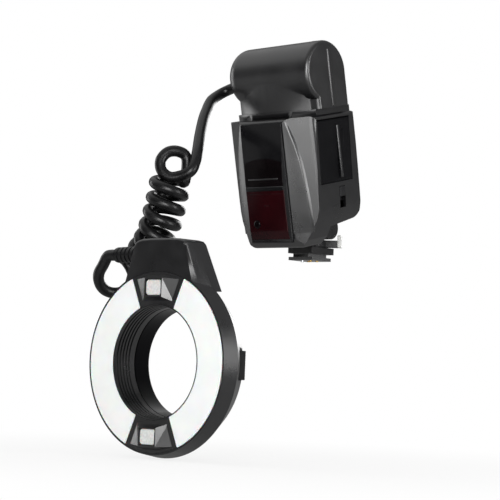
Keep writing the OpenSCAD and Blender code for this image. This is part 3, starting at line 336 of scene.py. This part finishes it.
# %% Window finishes
def window(name, dark, pale, gloss):
    finish, tree, place = new_finish(name)
    depth = noise(tree, place, 20, 1)
    close_finish(tree, Base_Color=two_tones(tree, depth, dark, pale, 0.35, 0.65), Roughness=gloss,
                 Normal=relief(tree, depth, 0.04, 1), Specular_IOR_Level=0.16, IOR=1.49)
    return finish


red_acrylic = window("deep_red_acrylic", "#1d0508", "#26070b", 0.16)
smoked_acrylic = window("smoked_acrylic", "#090607", "#0d080a", 0.16)
display_glass = window("grey_green_display", "#7f8a7c", "#889383", 0.12)
clear_acrylic, tree, place = new_finish("clear_hard_coated_acrylic")
close_finish(tree, Base_Color=linear("#f2f5f2"), Roughness=0.05, IOR=1.49, Transmission_Weight=1,
             Normal=relief(tree, noise(tree, place, 20, 1), 0.03, 1))
print("windows", [finish.name for finish in (red_acrylic, smoked_acrylic, display_glass, clear_acrylic)])

# %% [markdown]
# ## Opal and clear plastics, and glass
# The lamp covers are opal acrylic with a frosted face: light goes some millimetres into it, so it looks
# milky and its edges glow. Subsurface scattering gives that; a plain white would look like paint. The
# focusing lamps have small dimples, which a cell pattern of 1.4 mm draws. The flash tubes and the lamp
# behind the red window are clear glass.

# %% Opal and glass finishes
opal, tree, place = new_finish("opal_white_acrylic")
close_finish(tree, Base_Color=two_tones(tree, noise(tree, place, 15, 2), "#f4f4f3", "#f9f9f8"),
             Roughness=0.38, Normal=relief(tree, noise(tree, place, 0.8, 2), 0.08, 0.1), IOR=1.49,
             Subsurface_Weight=0.35, Subsurface_Scale=0.002)

lamp_lens, tree, place = new_finish("frosted_lamp_lens")
cells = add_node(tree, "ShaderNodeTexVoronoi", {"Vector": place, "Scale": 1 / (1.4 * MM)})
dimple = cells.outputs["Distance"]
close_finish(tree, Base_Color=two_tones(tree, dimple, "#e4e4e2", "#d2d2d0", 0.1, 0.8), Roughness=0.25,
             Normal=relief(tree, dimple, 0.25, 0.2), IOR=1.49, Subsurface_Weight=0.3,
             Subsurface_Scale=0.001)

clear_glass, tree, place = new_finish("clear_tube_glass")
close_finish(tree, Base_Color=linear("#f4fafa"), Roughness=0.03, IOR=1.47, Transmission_Weight=1,
             Normal=relief(tree, noise(tree, place, 6, 1), 0.05, 0.2))
print("opal and glass", [finish.name for finish in (opal, lamp_lens, clear_glass)])

# %% [markdown]
# ## Metals
# The shoe plate is nickel-plated, the screws and springs zinc-plated, the contacts gilt, the reflectors
# polished and the lens adapter turned and anodised black. Their differences are in colour, roughness and
# the direction of their marks: a stretched noise gives brushing, and rings about the bore give turning.

# %% Metal finishes
def plated(name, dark, pale, gloss, stretch, mark_mm):
    finish, tree, place = new_finish(name)
    pull = add_node(tree, "ShaderNodeMapping", {"Vector": place, "Scale": stretch}).outputs["Vector"]
    marks = noise(tree, pull, mark_mm, 4)
    close_finish(tree, Base_Color=two_tones(tree, marks, dark, pale), Metallic=1,
                 Roughness=roughened(tree, marks, gloss - 0.05, gloss + 0.05),
                 Normal=relief(tree, marks, 0.1, 0.05))
    return finish


nickel = plated("nickel_plated_plate", "#8f8f90", "#9c9c9d", 0.3, (0.1, 1, 1), 0.5)
zinc = plated("zinc_plated_steel", "#a9abae", "#b8babd", 0.32, (1, 1, 1), 1.2)
mirror_metal = plated("polished_aluminium", "#dcdddf", "#e6e7e8", 0.12, (1, 1, 1), 3)
gilt = plated("gilt_brass", "#c9a254", "#d8b469", 0.25, (1, 1, 1), 0.8)

ring_z = -65.5
anodised, tree, place = new_finish("black_anodised_aluminium")
about_bore = add_node(tree, "ShaderNodeMapping", {"Vector": place, "Location": (0, 0, -ring_z * MM)})
turned = add_node(tree, "ShaderNodeTexWave", {
    "Vector": about_bore.outputs["Vector"], "Scale": 1 / (8 * MM), "Distortion": 0.4},
    wave_type="RINGS", rings_direction="Y").outputs["Fac"]
tone = add_node(tree, "ShaderNodeMapRange", {"Value": turned, "To Min": 0.3, "To Max": 0.42})
close_finish(tree, Base_Color=linear("#1b1b1d"), Metallic=1, Roughness=tone.outputs["Result"],
             Normal=relief(tree, turned, 0.15, 0.05))
print("metals", [finish.name for finish in (nickel, zinc, mirror_metal, gilt, anodised)])

# %% [markdown]
# ## Electronics
# The boards are glass epoxy under black solder mask, where tracks show as paler lines with right-angled
# bends: a brick pattern draws them. The cells have a printed jacket, left plain, and the capacitor a
# shrunk sleeve with its pale stripe left off.

# %% Electronics finishes
board, tree, place = new_finish("black_glass_epoxy")
face = add_node(tree, "ShaderNodeMapping", {"Vector": place, "Rotation": (math.radians(90), 0, 0)})
tracks = add_node(tree, "ShaderNodeTexBrick", {
    "Vector": face.outputs["Vector"], "Scale": 1 / (9 * MM), "Mortar Size": 0.05,
    "Color1": linear("#0c100e"), "Color2": linear("#0e1210"), "Mortar": linear("#1c221f")})
close_finish(tree, Base_Color=tracks.outputs["Color"], Roughness=0.35, IOR=1.55,
             Normal=relief(tree, tracks.outputs["Fac"], 0.2, 0.05))


def sleeve(name, dark, pale, gloss):
    finish, tree, place = new_finish(name)
    shrink = noise(tree, place, 5, 3)
    close_finish(tree, Base_Color=two_tones(tree, shrink, dark, pale), Roughness=gloss,
                 Normal=relief(tree, shrink, 0.1, 0.2))
    return finish


cell_jacket = sleeve("printed_cell_jacket", "#5a5c60", "#65676b", 0.3)
capacitor_sleeve = sleeve("shrunk_vinyl_sleeve", "#1d2a44", "#24324e", 0.35)
print("electronics", [finish.name for finish in (board, cell_jacket, capacitor_sleeve)])

# %% [markdown]
# ## Finishes on the solids
# Each solid takes the finish of its real material. A CAD solid whose shape is right stays as it is and
# only gets that finish, so this is one table of names.

# %% Dress the solids
wears = {
    satin_abs: "front_shell rear_shell foot_bracket foot_base ring_front_shell ring_rear_shell "
               "battery_holder bore_baffle",
    smooth_abs: "head_shell head_end_cap top_bezel bottom_bezel",
    gloss_abs: "visor",
    matt_abs: "battery_door",
    grey_abs: "lever_tip",
    key_rubber: "mode_key lamp_key minus_key set_key plus_key test_key power_switch door_latch lock_lever "
                "left_release right_release",
    cord_jacket: "cord_lead cord_coil cord_boot cord_gland",
    red_acrylic: "red_window",
    smoked_acrylic: "upper_window sensor_lens",
    clear_acrylic: "lcd_window",
    display_glass: "lcd_module",
    opal: "left_diffuser right_diffuser",
    lamp_lens: "led_lamps",
    clear_glass: "left_flash_tube right_flash_tube assist_lamp",
    nickel: "shoe_foot",
    zinc: "hinge_pin case_screws foot_screws ring_screws lock_pin left_latch_plate right_latch_plate "
          "door_contacts battery_contacts",
    mirror_metal: "left_reflector right_reflector",
    gilt: "contact_pins",
    anodised: "adapter_ring",
    board: "main_board key_board ring_board",
    cell_jacket: "batteries",
    capacitor_sleeve: "flash_capacitor",
}
finish_of = {name: finish for finish, names in wears.items() for name in names.split()}


def dress(piece, finish):
    piece.data.materials.clear()
    piece.data.materials.append(finish)


for name, solid in nodes.items():
    dress(solid, finish_of[name])
dress(curly_cord, cord_jacket)
print("dressed", len(finish_of), "solids")

# %% [markdown]
# ## The leaning case
# The case leans back by 13 degrees. Its shapes are easier to think of upright, so two functions turn a
# place on the upright case, in millimetres, into a place in the scene and back.

# %% Lean
lean = math.radians(13)


def leaned(x, y, z):
    """Where a place on the upright case lies in the scene."""
    cosine, sine = math.cos(lean), math.sin(lean)
    return Vector((x, y * cosine - z * sine, y * sine + z * cosine)) * MM


def upright(place):
    """Where a place in the scene lies on the upright case."""
    cosine, sine = math.cos(lean), math.sin(lean)
    x, y, z = place / MM
    return Vector((x, y * cosine + z * sine, z * cosine - y * sine))


barrel_y, barrel_z = -5.5, 113.8
print("barrel's axis at", [round(v / MM, 1) for v in leaned(0, barrel_y, barrel_z)], "mm")

# %% [markdown]
# ## Softened edges
# No moulded or milled edge is knife-sharp: it has a small radius, and that radius is the bright line that
# draws a black shell against a black shell. A solid comes in with sharp edges, so most of the visible ones
# get a copy whose outer edges are bevelled. The copy's loose triangles are merged first, and flat ones are
# joined into one face, because a bevel would otherwise stop at every triangle.

# %% Copies and their edges
def merged_copy(name):
    """The solid's triangles as one closed mesh, flat faces joined."""
    copy = bmesh.new()
    copy.from_mesh(nodes[name].data)
    bmesh.ops.remove_doubles(copy, verts=copy.verts, dist=0.001 * MM)
    bmesh.ops.dissolve_limit(copy, angle_limit=math.radians(0.4), verts=copy.verts, edges=copy.edges)
    return copy


def sharp_edges(copy, middle=None, least=28):
    """Convex edges that turn more than least degrees; with a middle, only those that look away from it."""
    found = []
    for edge in copy.edges:
        if len(edge.link_faces) == 2 and edge.is_convex and edge.calc_face_angle() > math.radians(least):
            if middle is None or all(f.normal.dot(edge.verts[0].co - middle) > 0 for f in edge.link_faces):
                found.append(edge)
    return found


def round_edges(copy, edges, width, segments=3):
    bmesh.ops.bevel(copy, geom=edges, offset=width * MM, offset_type="OFFSET", segments=segments,
                    profile=0.5, affect="EDGES", clamp_overlap=True, material=-1)


trial = merged_copy("visor")
print("the visor's copy has", len(trial.faces), "faces and", len(sharp_edges(trial)), "sharp edges")
trial.free()

# %% [markdown]
# ## Putting a copy in its solid's place
# A softened copy takes over the solid's body and finish, and hides the solid. Weighted
# normals keep its large faces flat beside the small rounded ones.

# %% Take a solid's place
crisp = 40


def made(name, shape, sharp=None):
    """Ends a bmesh as a smooth object; edges that turn more than sharp degrees stay sharp."""
    mesh = bpy.data.meshes.new(name)
    shape.to_mesh(mesh)
    shape.free()
    mesh.polygons.foreach_set("use_smooth", [True] * len(mesh.polygons))
    if sharp:
        mesh.set_sharp_from_angle(angle=math.radians(sharp))
    return linked(name, mesh)


def take_place(copy, name):
    piece = made(name + "_softened", copy, crisp)
    dress(piece, finish_of[name])
    flat = piece.modifiers.new("flat_faces", "WEIGHTED_NORMAL")
    flat.keep_sharp = True
    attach(piece, nodes[name]["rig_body"])
    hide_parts(name)
    return piece


# %% [markdown]
# ## The shells and small pieces
# Shells get radii of some 0.8 mm on their outside only, because their inside hardly shows. Small pieces
# are rounded all over. The case's two halves meet in a fine seam, so there the radius is much smaller. The
# barrel also grows a little towards its cap, which the solid doesn't.

# %% Soften the shells and small pieces
shell_edges = {"front_shell": 0.8, "rear_shell": 0.8, "visor": 0.9, "head_shell": 0.8, "foot_bracket": 0.8,
               "foot_base": 0.8, "ring_rear_shell": 0.7}
small_edges = {"battery_door": 0.4, "lock_lever": 0.5, "lever_tip": 0.4, "shoe_foot": 0.3, "cord_gland": 0.4,
               "left_diffuser": 0.4, "right_diffuser": 0.4, "sensor_lens": 0.8, "power_switch": 0.3,
               "door_latch": 0.3, "mode_key": 0.4, "lamp_key": 0.4, "minus_key": 0.4, "set_key": 0.4,
               "plus_key": 0.4, "test_key": 0.4, "upper_window": 0.25, "red_window": 0.25}
seam_y, seam_edge = -22.2, 0.15


def on_seam(edge):
    """True on the plane where the case's two halves meet."""
    return all(abs(upright(v.co).y - seam_y) < 0.05 for v in edge.verts)


def flare_barrel(copy, most=0.06, start=-20, length=47, foot=-16, rise=10):
    """The barrel grows from start towards its cap; below foot, in the collar, it keeps its size."""
    for vert in copy.verts:
        x, y, z = upright(vert.co)
        depth, height = y - barrel_y, z - barrel_z
        grow = most * min(max((x - start) / length, 0), 1) * min(max((height - foot) / rise, 0), 1)
        if grow > 0:
            vert.co = leaned(x, y + grow * depth, z + grow * height)


for name, width in {**shell_edges, **small_edges}.items():
    copy = merged_copy(name)
    if name == "head_shell":
        flare_barrel(copy)
    low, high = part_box(name)
    edges = sharp_edges(copy, (low + high) / 2 if name in shell_edges else None)
    round_edges(copy, [e for e in edges if not on_seam(e)], width)
    round_edges(copy, [e for e in sharp_edges(copy) if on_seam(e)], seam_edge, 1)
    piece = take_place(copy, name)
    print(name, len(edges), "edges,", len(piece.data.polygons), "faces")

# %% [markdown]
# ## The barrel's end cap
# The cap closes the barrel with a rim so broad that two lights show in it as two bright crescents. Its
# outline is an arch that stands on the collar: a point is spun over the top of the barrel, the foot's
# corners are added, and the face between them is extruded along the barrel. Then the outer rim is bevelled.

# %% End cap
cap_left, cap_right, cap_r, cap_rim = 25, 33, 18.6, 7.4
foot_y, foot_z = -16, 92.6
cap = bmesh.new()
first = cap.verts.new(Vector((cap_left, barrel_y + cap_r, barrel_z)) * MM)
bmesh.ops.spin(cap, geom=[first], cent=Vector((cap_left, barrel_y, barrel_z)) * MM, axis=(1, 0, 0),
               angle=math.pi + math.acos((barrel_y - foot_y) / cap_r), steps=56, use_merge=False,
               use_duplicate=False)
arch_end = min(cap.verts, key=lambda v: v.co.z)
foot = [cap.verts.new(Vector((cap_left, y, foot_z)) * MM) for y in (foot_y, barrel_y + cap_r)]
for pair in ((arch_end, foot[0]), foot, (foot[1], first)):
    cap.edges.new(pair)
bmesh.ops.contextual_create(cap, geom=cap.edges[:])
grown = bmesh.ops.extrude_face_region(cap, geom=cap.faces[:])["geom"]
bmesh.ops.translate(cap, verts=[v for v in grown if isinstance(v, bmesh.types.BMVert)],
                    vec=((cap_right - cap_left) * MM, 0, 0))
bmesh.ops.rotate(cap, verts=cap.verts[:], cent=(0, 0, 0), matrix=Matrix.Rotation(lean, 3, "X"))
bmesh.ops.recalc_face_normals(cap, faces=cap.faces[:])
rim = []
for edge in cap.edges:
    ends = [upright(v.co) for v in edge.verts]
    if all(p.x > cap_right - 0.1 for p in ends) and max(p.z for p in ends) > foot_z + 0.1:
        rim.append(edge)
round_edges(cap, rim, cap_rim, 10)
end_cap = take_place(cap, "head_end_cap")
print("end cap", len(rim), "rim edges,", len(end_cap.data.polygons), "faces")

# %% [markdown]
# ## The ring's block and its lamps
# The block on top of the ring has a broad radius round its front face, and the focusing lamps are small
# lenses with rounded corners. Both are picked by where their edges lie: the block's front edges are the
# high ones in front, and a lamp's corners are the edges that run from front to back.

# %% Block and lamps
block_low = -20 * MM
copy = merged_copy("ring_front_shell")
low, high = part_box("ring_front_shell")
axis = Vector((0, (low.y + high.y) / 2, ring_z * MM))
brow = [e for e in sharp_edges(copy, axis)
        if all(v.co.y < low.y + 1 * MM and v.co.z > block_low for v in e.verts)]
round_edges(copy, brow, 2.2, 5)
others = [e for e in sharp_edges(copy, axis)
          if all(v.co.y > low.y + 3 * MM or v.co.z < block_low for v in e.verts)]
round_edges(copy, others, 0.5)
take_place(copy, "ring_front_shell")

copy = merged_copy("led_lamps")
corners = [e for e in sharp_edges(copy) if abs((e.verts[0].co - e.verts[1].co).normalized().y) > 0.9]
round_edges(copy, corners, 2, 5)
round_edges(copy, sharp_edges(copy, least=50), 0.5)
take_place(copy, "led_lamps")
print("block", len(brow), "brow edges,", len(others), "others; lamps", len(corners), "corners")

# %% [markdown]
# ## Flares on the cheeks
# Each cheek has a flare: its skin rises from the mask's side to a crest, which starts at the top of the
# mask, sweeps outwards and runs down the case, and behind the crest it drops back to the cheek. It is a
# grid whose columns are the mask's side, a place on the way, the crest and the drop, and whose rows go down
# the case.

# %% Section of a flare
nose_half_w, half_w, front_y, cheek_y = 16, 33, -31.5, -22
cheek_turn = math.atan2(cheek_y - front_y, half_w - nose_half_w)
mask_side, lift, drop_width, drop = 16.1, 0.12, 1.6, -0.3


def on_cheek(x, rise, z):
    """A place on the cheek, which runs back from the nose as it goes outwards; rise is above its skin."""
    return leaned(x + math.sin(cheek_turn) * rise,
                  front_y + (x - nose_half_w) * math.tan(cheek_turn) - math.cos(cheek_turn) * rise, z)


def flare_point(column, x, rise, z):
    """The flare's four columns at one height; x and rise are the crest's."""
    partway = (mask_side + (x - mask_side) * 0.6, lift + rise * 0.45)
    section = ((mask_side, lift), partway, (x, lift + rise), (x + drop_width, drop))
    return on_cheek(*section[column], z)


crest = [Vector(p) for p in ((17.4, 0.3, 87), (19.4, 0.7, 80), (21.6, 1.0, 72), (23.4, 1.2, 62),
                             (24.6, 1.3, 51), (25.4, 1.2, 40), (25.8, 0.9, 30), (25.9, 0.3, 21))]
print("cheek turned by", round(math.degrees(cheek_turn), 1), "degrees; crest up to",
      max(round(p.y, 2) for p in crest), "mm")

# %% [markdown]
# ## The sheet of a flare
# The grid is made flat, and each of its points is then put in its place. The crest is bevelled, and the
# sheet gets a thickness. The right cheek's sheet is finished first and mirrored to the left one.

# %% Cheek flares
def add_detail(piece, name, finish):
    """Gives a new piece its finish, and lets it ride with the solid it sits on."""
    dress(piece, finish)
    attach(piece, nodes[name]["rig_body"])


sheet = bmesh.new()
columns, steps = 3, 28
bmesh.ops.create_grid(sheet, x_segments=columns, y_segments=steps, size=1)
for vert in sheet.verts:
    column, row = round((vert.co.x + 1) / 2 * columns), round((vert.co.y + 1) / 2 * steps)
    vert.co = flare_point(column, *along(crest, row / steps * (len(crest) - 1)))
sheet.normal_update()
crest_edges = [e for e in sheet.edges if len(e.link_faces) == 2 and e.calc_face_angle() > math.radians(15)
               and abs(e.verts[0].co.z - e.verts[1].co.z) > 1 * MM]
round_edges(sheet, crest_edges, 0.5)
bmesh.ops.recalc_face_normals(sheet, faces=sheet.faces[:])
if sum(face.normal.x for face in sheet.faces) < 0:
    bmesh.ops.reverse_faces(sheet, faces=sheet.faces[:])
bmesh.ops.solidify(sheet, geom=sheet.faces[:], thickness=0.8 * MM)
bmesh.ops.mirror(sheet, geom=sheet.verts[:] + sheet.edges[:] + sheet.faces[:], axis="X", merge_dist=0)
bmesh.ops.recalc_face_normals(sheet, faces=sheet.faces[:])
flares = made("cheek_flares", sheet, crisp)
add_detail(flares, "front_shell", satin_abs)
print("flares", len(crest_edges), "crest edges,", len(flares.data.polygons), "faces")

# %% [markdown]
# ## Bars and ribs
# The smoked window has a slim bar across it, the red one a line near its top and a short mark, and the
# barrel's cap and the battery door have an upright rib each. They are slim boxes with rounded edges: a cube
# is scaled, put in its place and bevelled, and a few of them can share one piece.

# %% Bars and ribs
def bars(name, rows):
    """Slim bars in one mesh; each row gives a middle and sizes, in millimetres on the upright case."""
    shape = bmesh.new()
    tilt = Matrix.Rotation(lean, 4, "X")
    for middle, sizes in rows:
        scaled = Matrix.Translation(Vector(middle) * MM) @ Matrix.Diagonal((*(s * MM for s in sizes), 1))
        cube = bmesh.ops.create_cube(shape, size=1, matrix=tilt @ scaled)
        round_edges(shape, list({e for v in cube["verts"] for e in v.link_edges}), min(sizes) * 0.3)
    return made(name, shape)


add_detail(bars("upper_window_bar", [((-0.5, -34.5, 54.4), (23, 1.2, 0.9))]), "upper_window", smooth_abs)
add_detail(bars("red_window_bars", [((0, -35, 45.6), (26, 0.7, 0.5)), ((0.5, -35, 38.6), (3.2, 0.7, 0.8))]),
           "red_window", red_acrylic)
add_detail(bars("cap_rib", [((32.7, -2.6, 110.3), (2, 3, 34))]), "head_end_cap", smooth_abs)
add_detail(bars("door_rib", [((32.7, -1.2, 66.2), (1.6, 2, 31.6))]), "battery_door", satin_abs)
print("bars on the windows, ribs on the cap and the door")

# %% [markdown]
# ## Marks on the keys and screws
# Two keys carry a raised plus and a raised minus. The cross recess of each case screw is not hollowed: a
# cross of matt black on its head paints the shade in it. The marks are the same slim bars. A key's place and
# the height of its top are measured from its solid.

# %% Marks
def rear_top(name):
    """A rear solid's middle across, its outermost depth and its middle height on the upright case."""
    points = [upright(v.co) for v in nodes[name].data.vertices]
    across, depth, height = zip(*points)
    return (min(across) + max(across)) / 2, max(depth), (min(height) + max(height)) / 2


mark_l, mark_w, mark_t = 2, 0.5, 0.4
strokes = {"plus_key": ((mark_l, mark_w), (mark_w, mark_l)), "minus_key": ((mark_l, mark_w),)}
for name, rows in strokes.items():
    x, top, z = rear_top(name)
    mark = bars(name + "_mark", [((x, top, z), (wide, mark_t, high)) for wide, high in rows])
    add_detail(mark, name, grey_abs)

screw_x, cross_l, cross_w, cross_t, sunk = 13, 1.9, 0.45, 0.2, 0.06
top, z = rear_top("case_screws")[1:]
cross = ((cross_l, cross_t, cross_w), (cross_w, cross_t, cross_l))
heads = [(side * screw_x, top - sunk, z) for side in (1, -1)]
# A flat cross of matt black on each zinc head paints the shade inside the cross recess, which is not
# hollowed.
recess_shade_crosses = bars("screw_recess_shade", [(head, size) for head in heads for size in cross])
add_detail(recess_shade_crosses, "case_screws", matt_abs)
print("marks on two keys and two screws, screw heads at", round(top, 2), "mm")

# %% [markdown]
# ## The room
# The photograph is a catalogue picture on a white sweep. The background is white to the camera and through
# glass, and gives a plain, even light to matt surfaces. In reflections the room is darker: a dim ceiling,
# and a dim wall behind on the right. A white room would wash the black plastic out to grey, where the
# photograph shows it deep black with narrow lights.

# %% World
world = bpy.data.worlds.new("white_studio")
bpy.context.scene.world = world
world.use_nodes = True
world.node_tree.nodes.clear()
sky = world.node_tree
plain_light, darkest = 0.35, 0.04
way = add_node(sky, "ShaderNodeTexCoord").outputs["Generated"]


def rising(value, low, high, brightest):
    """From darkest to brightest, as the value goes from low to high."""
    limits = {"Value": value, "From Min": low, "From Max": high, "To Min": darkest, "To Max": brightest}
    return add_node(sky, "ShaderNodeMapRange", limits, interpolation_type="SMOOTHSTEP").outputs["Result"]


height = add_node(sky, "ShaderNodeSeparateXYZ", {"Vector": way}).outputs["Z"]
beside = add_node(sky, "ShaderNodeVectorMath", {0: way, 1: (0.62, 0.78, 0)}, operation="DOT_PRODUCT")
ceiling = rising(height, 0.0, 0.7, 0.3)
wall = rising(beside.outputs["Value"], 0.2, 0.9, 0.2)
room = add_node(sky, "ShaderNodeMath", {0: ceiling, 1: wall}, operation="MAXIMUM").outputs["Value"]
ray = add_node(sky, "ShaderNodeLightPath").outputs
through = add_node(sky, "ShaderNodeMath", {0: ray["Is Camera Ray"], 1: ray["Is Transmission Ray"]},
                   operation="MAXIMUM").outputs["Value"]
soft = add_node(sky, "ShaderNodeMix", {"Factor": ray["Is Glossy Ray"], "A": plain_light, "B": room})
seen = add_node(sky, "ShaderNodeMix", {"Factor": through, "A": soft.outputs["Result"], "B": 1.0})
backdrop = add_node(sky, "ShaderNodeBackground", {
    "Color": linear("#ffffff"), "Strength": seen.outputs["Result"]})
add_node(sky, "ShaderNodeOutputWorld", {"Surface": backdrop.outputs["Background"]})
print("world", world.name)

# %% [markdown]
# ## The lamps
# A soft light hangs above, and upright panels stand on all four sides, because a black shell is drawn by
# what it mirrors. The panel beside the camera is broad and bright, for the barrel's rim and the cheek. It
# shows in reflections only, and a weaker fill in the same place lights the matt surfaces, so that the white
# lamp covers stay below full white. A low strip in front lights the undersides. The left and back panels
# are for the sides that the photograph doesn't show.

# %% Lamps
def softbox(name, place, aim, width, height, watts):
    lamp = bpy.data.lights.new(name, "AREA")
    lamp.shape, lamp.size, lamp.size_y, lamp.energy = "RECTANGLE", width, height, watts
    box = linked(name, lamp)
    box.location = place
    box.rotation_euler = (Vector(place) - Vector(aim)).to_track_quat("Z", "Y").to_euler()
    box.visible_camera = False
    return box


beside_camera, case_middle, part_middle = (0.65, -0.82, 0.06), (0.02, -0.03, 0.05), (0, -0.05, 0.02)
softbox("top_softbox", (-0.45, -0.1, 0.85), (0, -0.05, 0.0), 1.2, 1.2, 2.2)
panel = softbox("camera_side_panel", beside_camera, case_middle, 0.6, 0.8, 12.5)
panel.visible_diffuse = False
fill = softbox("camera_side_fill", beside_camera, case_middle, 0.36, 0.8, 7.8)
fill.visible_glossy = False
softbox("right_panel", (0.95, 0.12, 0.06), case_middle, 0.32, 0.8, 5)
softbox("left_panel", (-0.95, -0.25, 0.12), part_middle, 0.3, 0.7, 2)
softbox("back_panel", (-0.35, 1, 0.3), part_middle, 0.6, 0.6, 4)
softbox("low_front_strip", (0.12, -0.54, -0.05), (0.02, -0.04, 0.06), 0.34, 0.1, 0.35)

# %% [markdown]
# ## The floor
# The floor is white paper, just under the ring. It glows white to the camera and through glass, so that it
# melts into the background, and more dimly in reflections, as the room does. Near the object a part of it
# is left to plain shading, which keeps the object's soft shadow.

# %% Floor
sheet = bmesh.new()
bmesh.ops.create_grid(sheet, x_segments=1, y_segments=1, size=6,
                      matrix=Matrix.Translation((0, 0, cad_box[0][2] - 0.5 * MM)))
floor_mesh = bpy.data.meshes.new("floor")
sheet.to_mesh(floor_mesh)
sheet.free()
floor = linked("floor", floor_mesh)
print("floor at", round(cad_box[0][2] / MM, 1), "mm")

# %% [markdown]
# ## The paper
# Paper has a fibre of a few millimetres that hardly shows. Its glow and its shading are mixed by how far a
# place is from the object.

# %% Paper
paper, tree, place = new_finish("white_paper_sweep")
fibre = two_tones(tree, noise(tree, place, 3, 2), "#f2f2f1", "#f6f6f5")
shade = add_node(tree, "ShaderNodeBsdfDiffuse", {"Color": fibre})
ray = add_node(tree, "ShaderNodeLightPath").outputs
level = add_node(tree, "ShaderNodeMapRange", {"Value": ray["Is Glossy Ray"], "To Min": 1, "To Max": 0.3})
glow = add_node(tree, "ShaderNodeEmission", {
    "Color": linear("#ffffff"), "Strength": level.outputs["Result"]})
shown = add_node(tree, "ShaderNodeMath", {0: ray["Is Camera Ray"], 1: ray["Is Glossy Ray"]},
                 operation="MAXIMUM").outputs["Value"]
shown = add_node(tree, "ShaderNodeMath", {0: shown, 1: ray["Is Transmission Ray"]},
                 operation="MAXIMUM").outputs["Value"]
away = add_node(tree, "ShaderNodeVectorMath", {0: place, 1: (0.0, -0.09, 0)}, operation="DISTANCE")
fade = add_node(tree, "ShaderNodeMapRange", {
    "Value": away.outputs["Value"], "From Min": 0.1, "From Max": 0.4, "To Min": 0.8, "To Max": 1},
    interpolation_type="SMOOTHSTEP").outputs["Result"]
share = add_node(tree, "ShaderNodeMath", {0: shown, 1: fade}, operation="MULTIPLY").outputs["Value"]
mixed = add_node(tree, "ShaderNodeMixShader", {
    0: share, 1: shade.outputs["BSDF"], 2: glow.outputs["Emission"]})
add_node(tree, "ShaderNodeOutputMaterial", {"Surface": mixed.outputs["Shader"]})
floor.data.materials.append(paper)
print("floor wears", paper.name)

# %% [markdown]
# ## Finish
# The picture's colours go out through the Standard view transform.

# %% Finish
bpy.context.scene.view_settings.view_transform = "Standard"
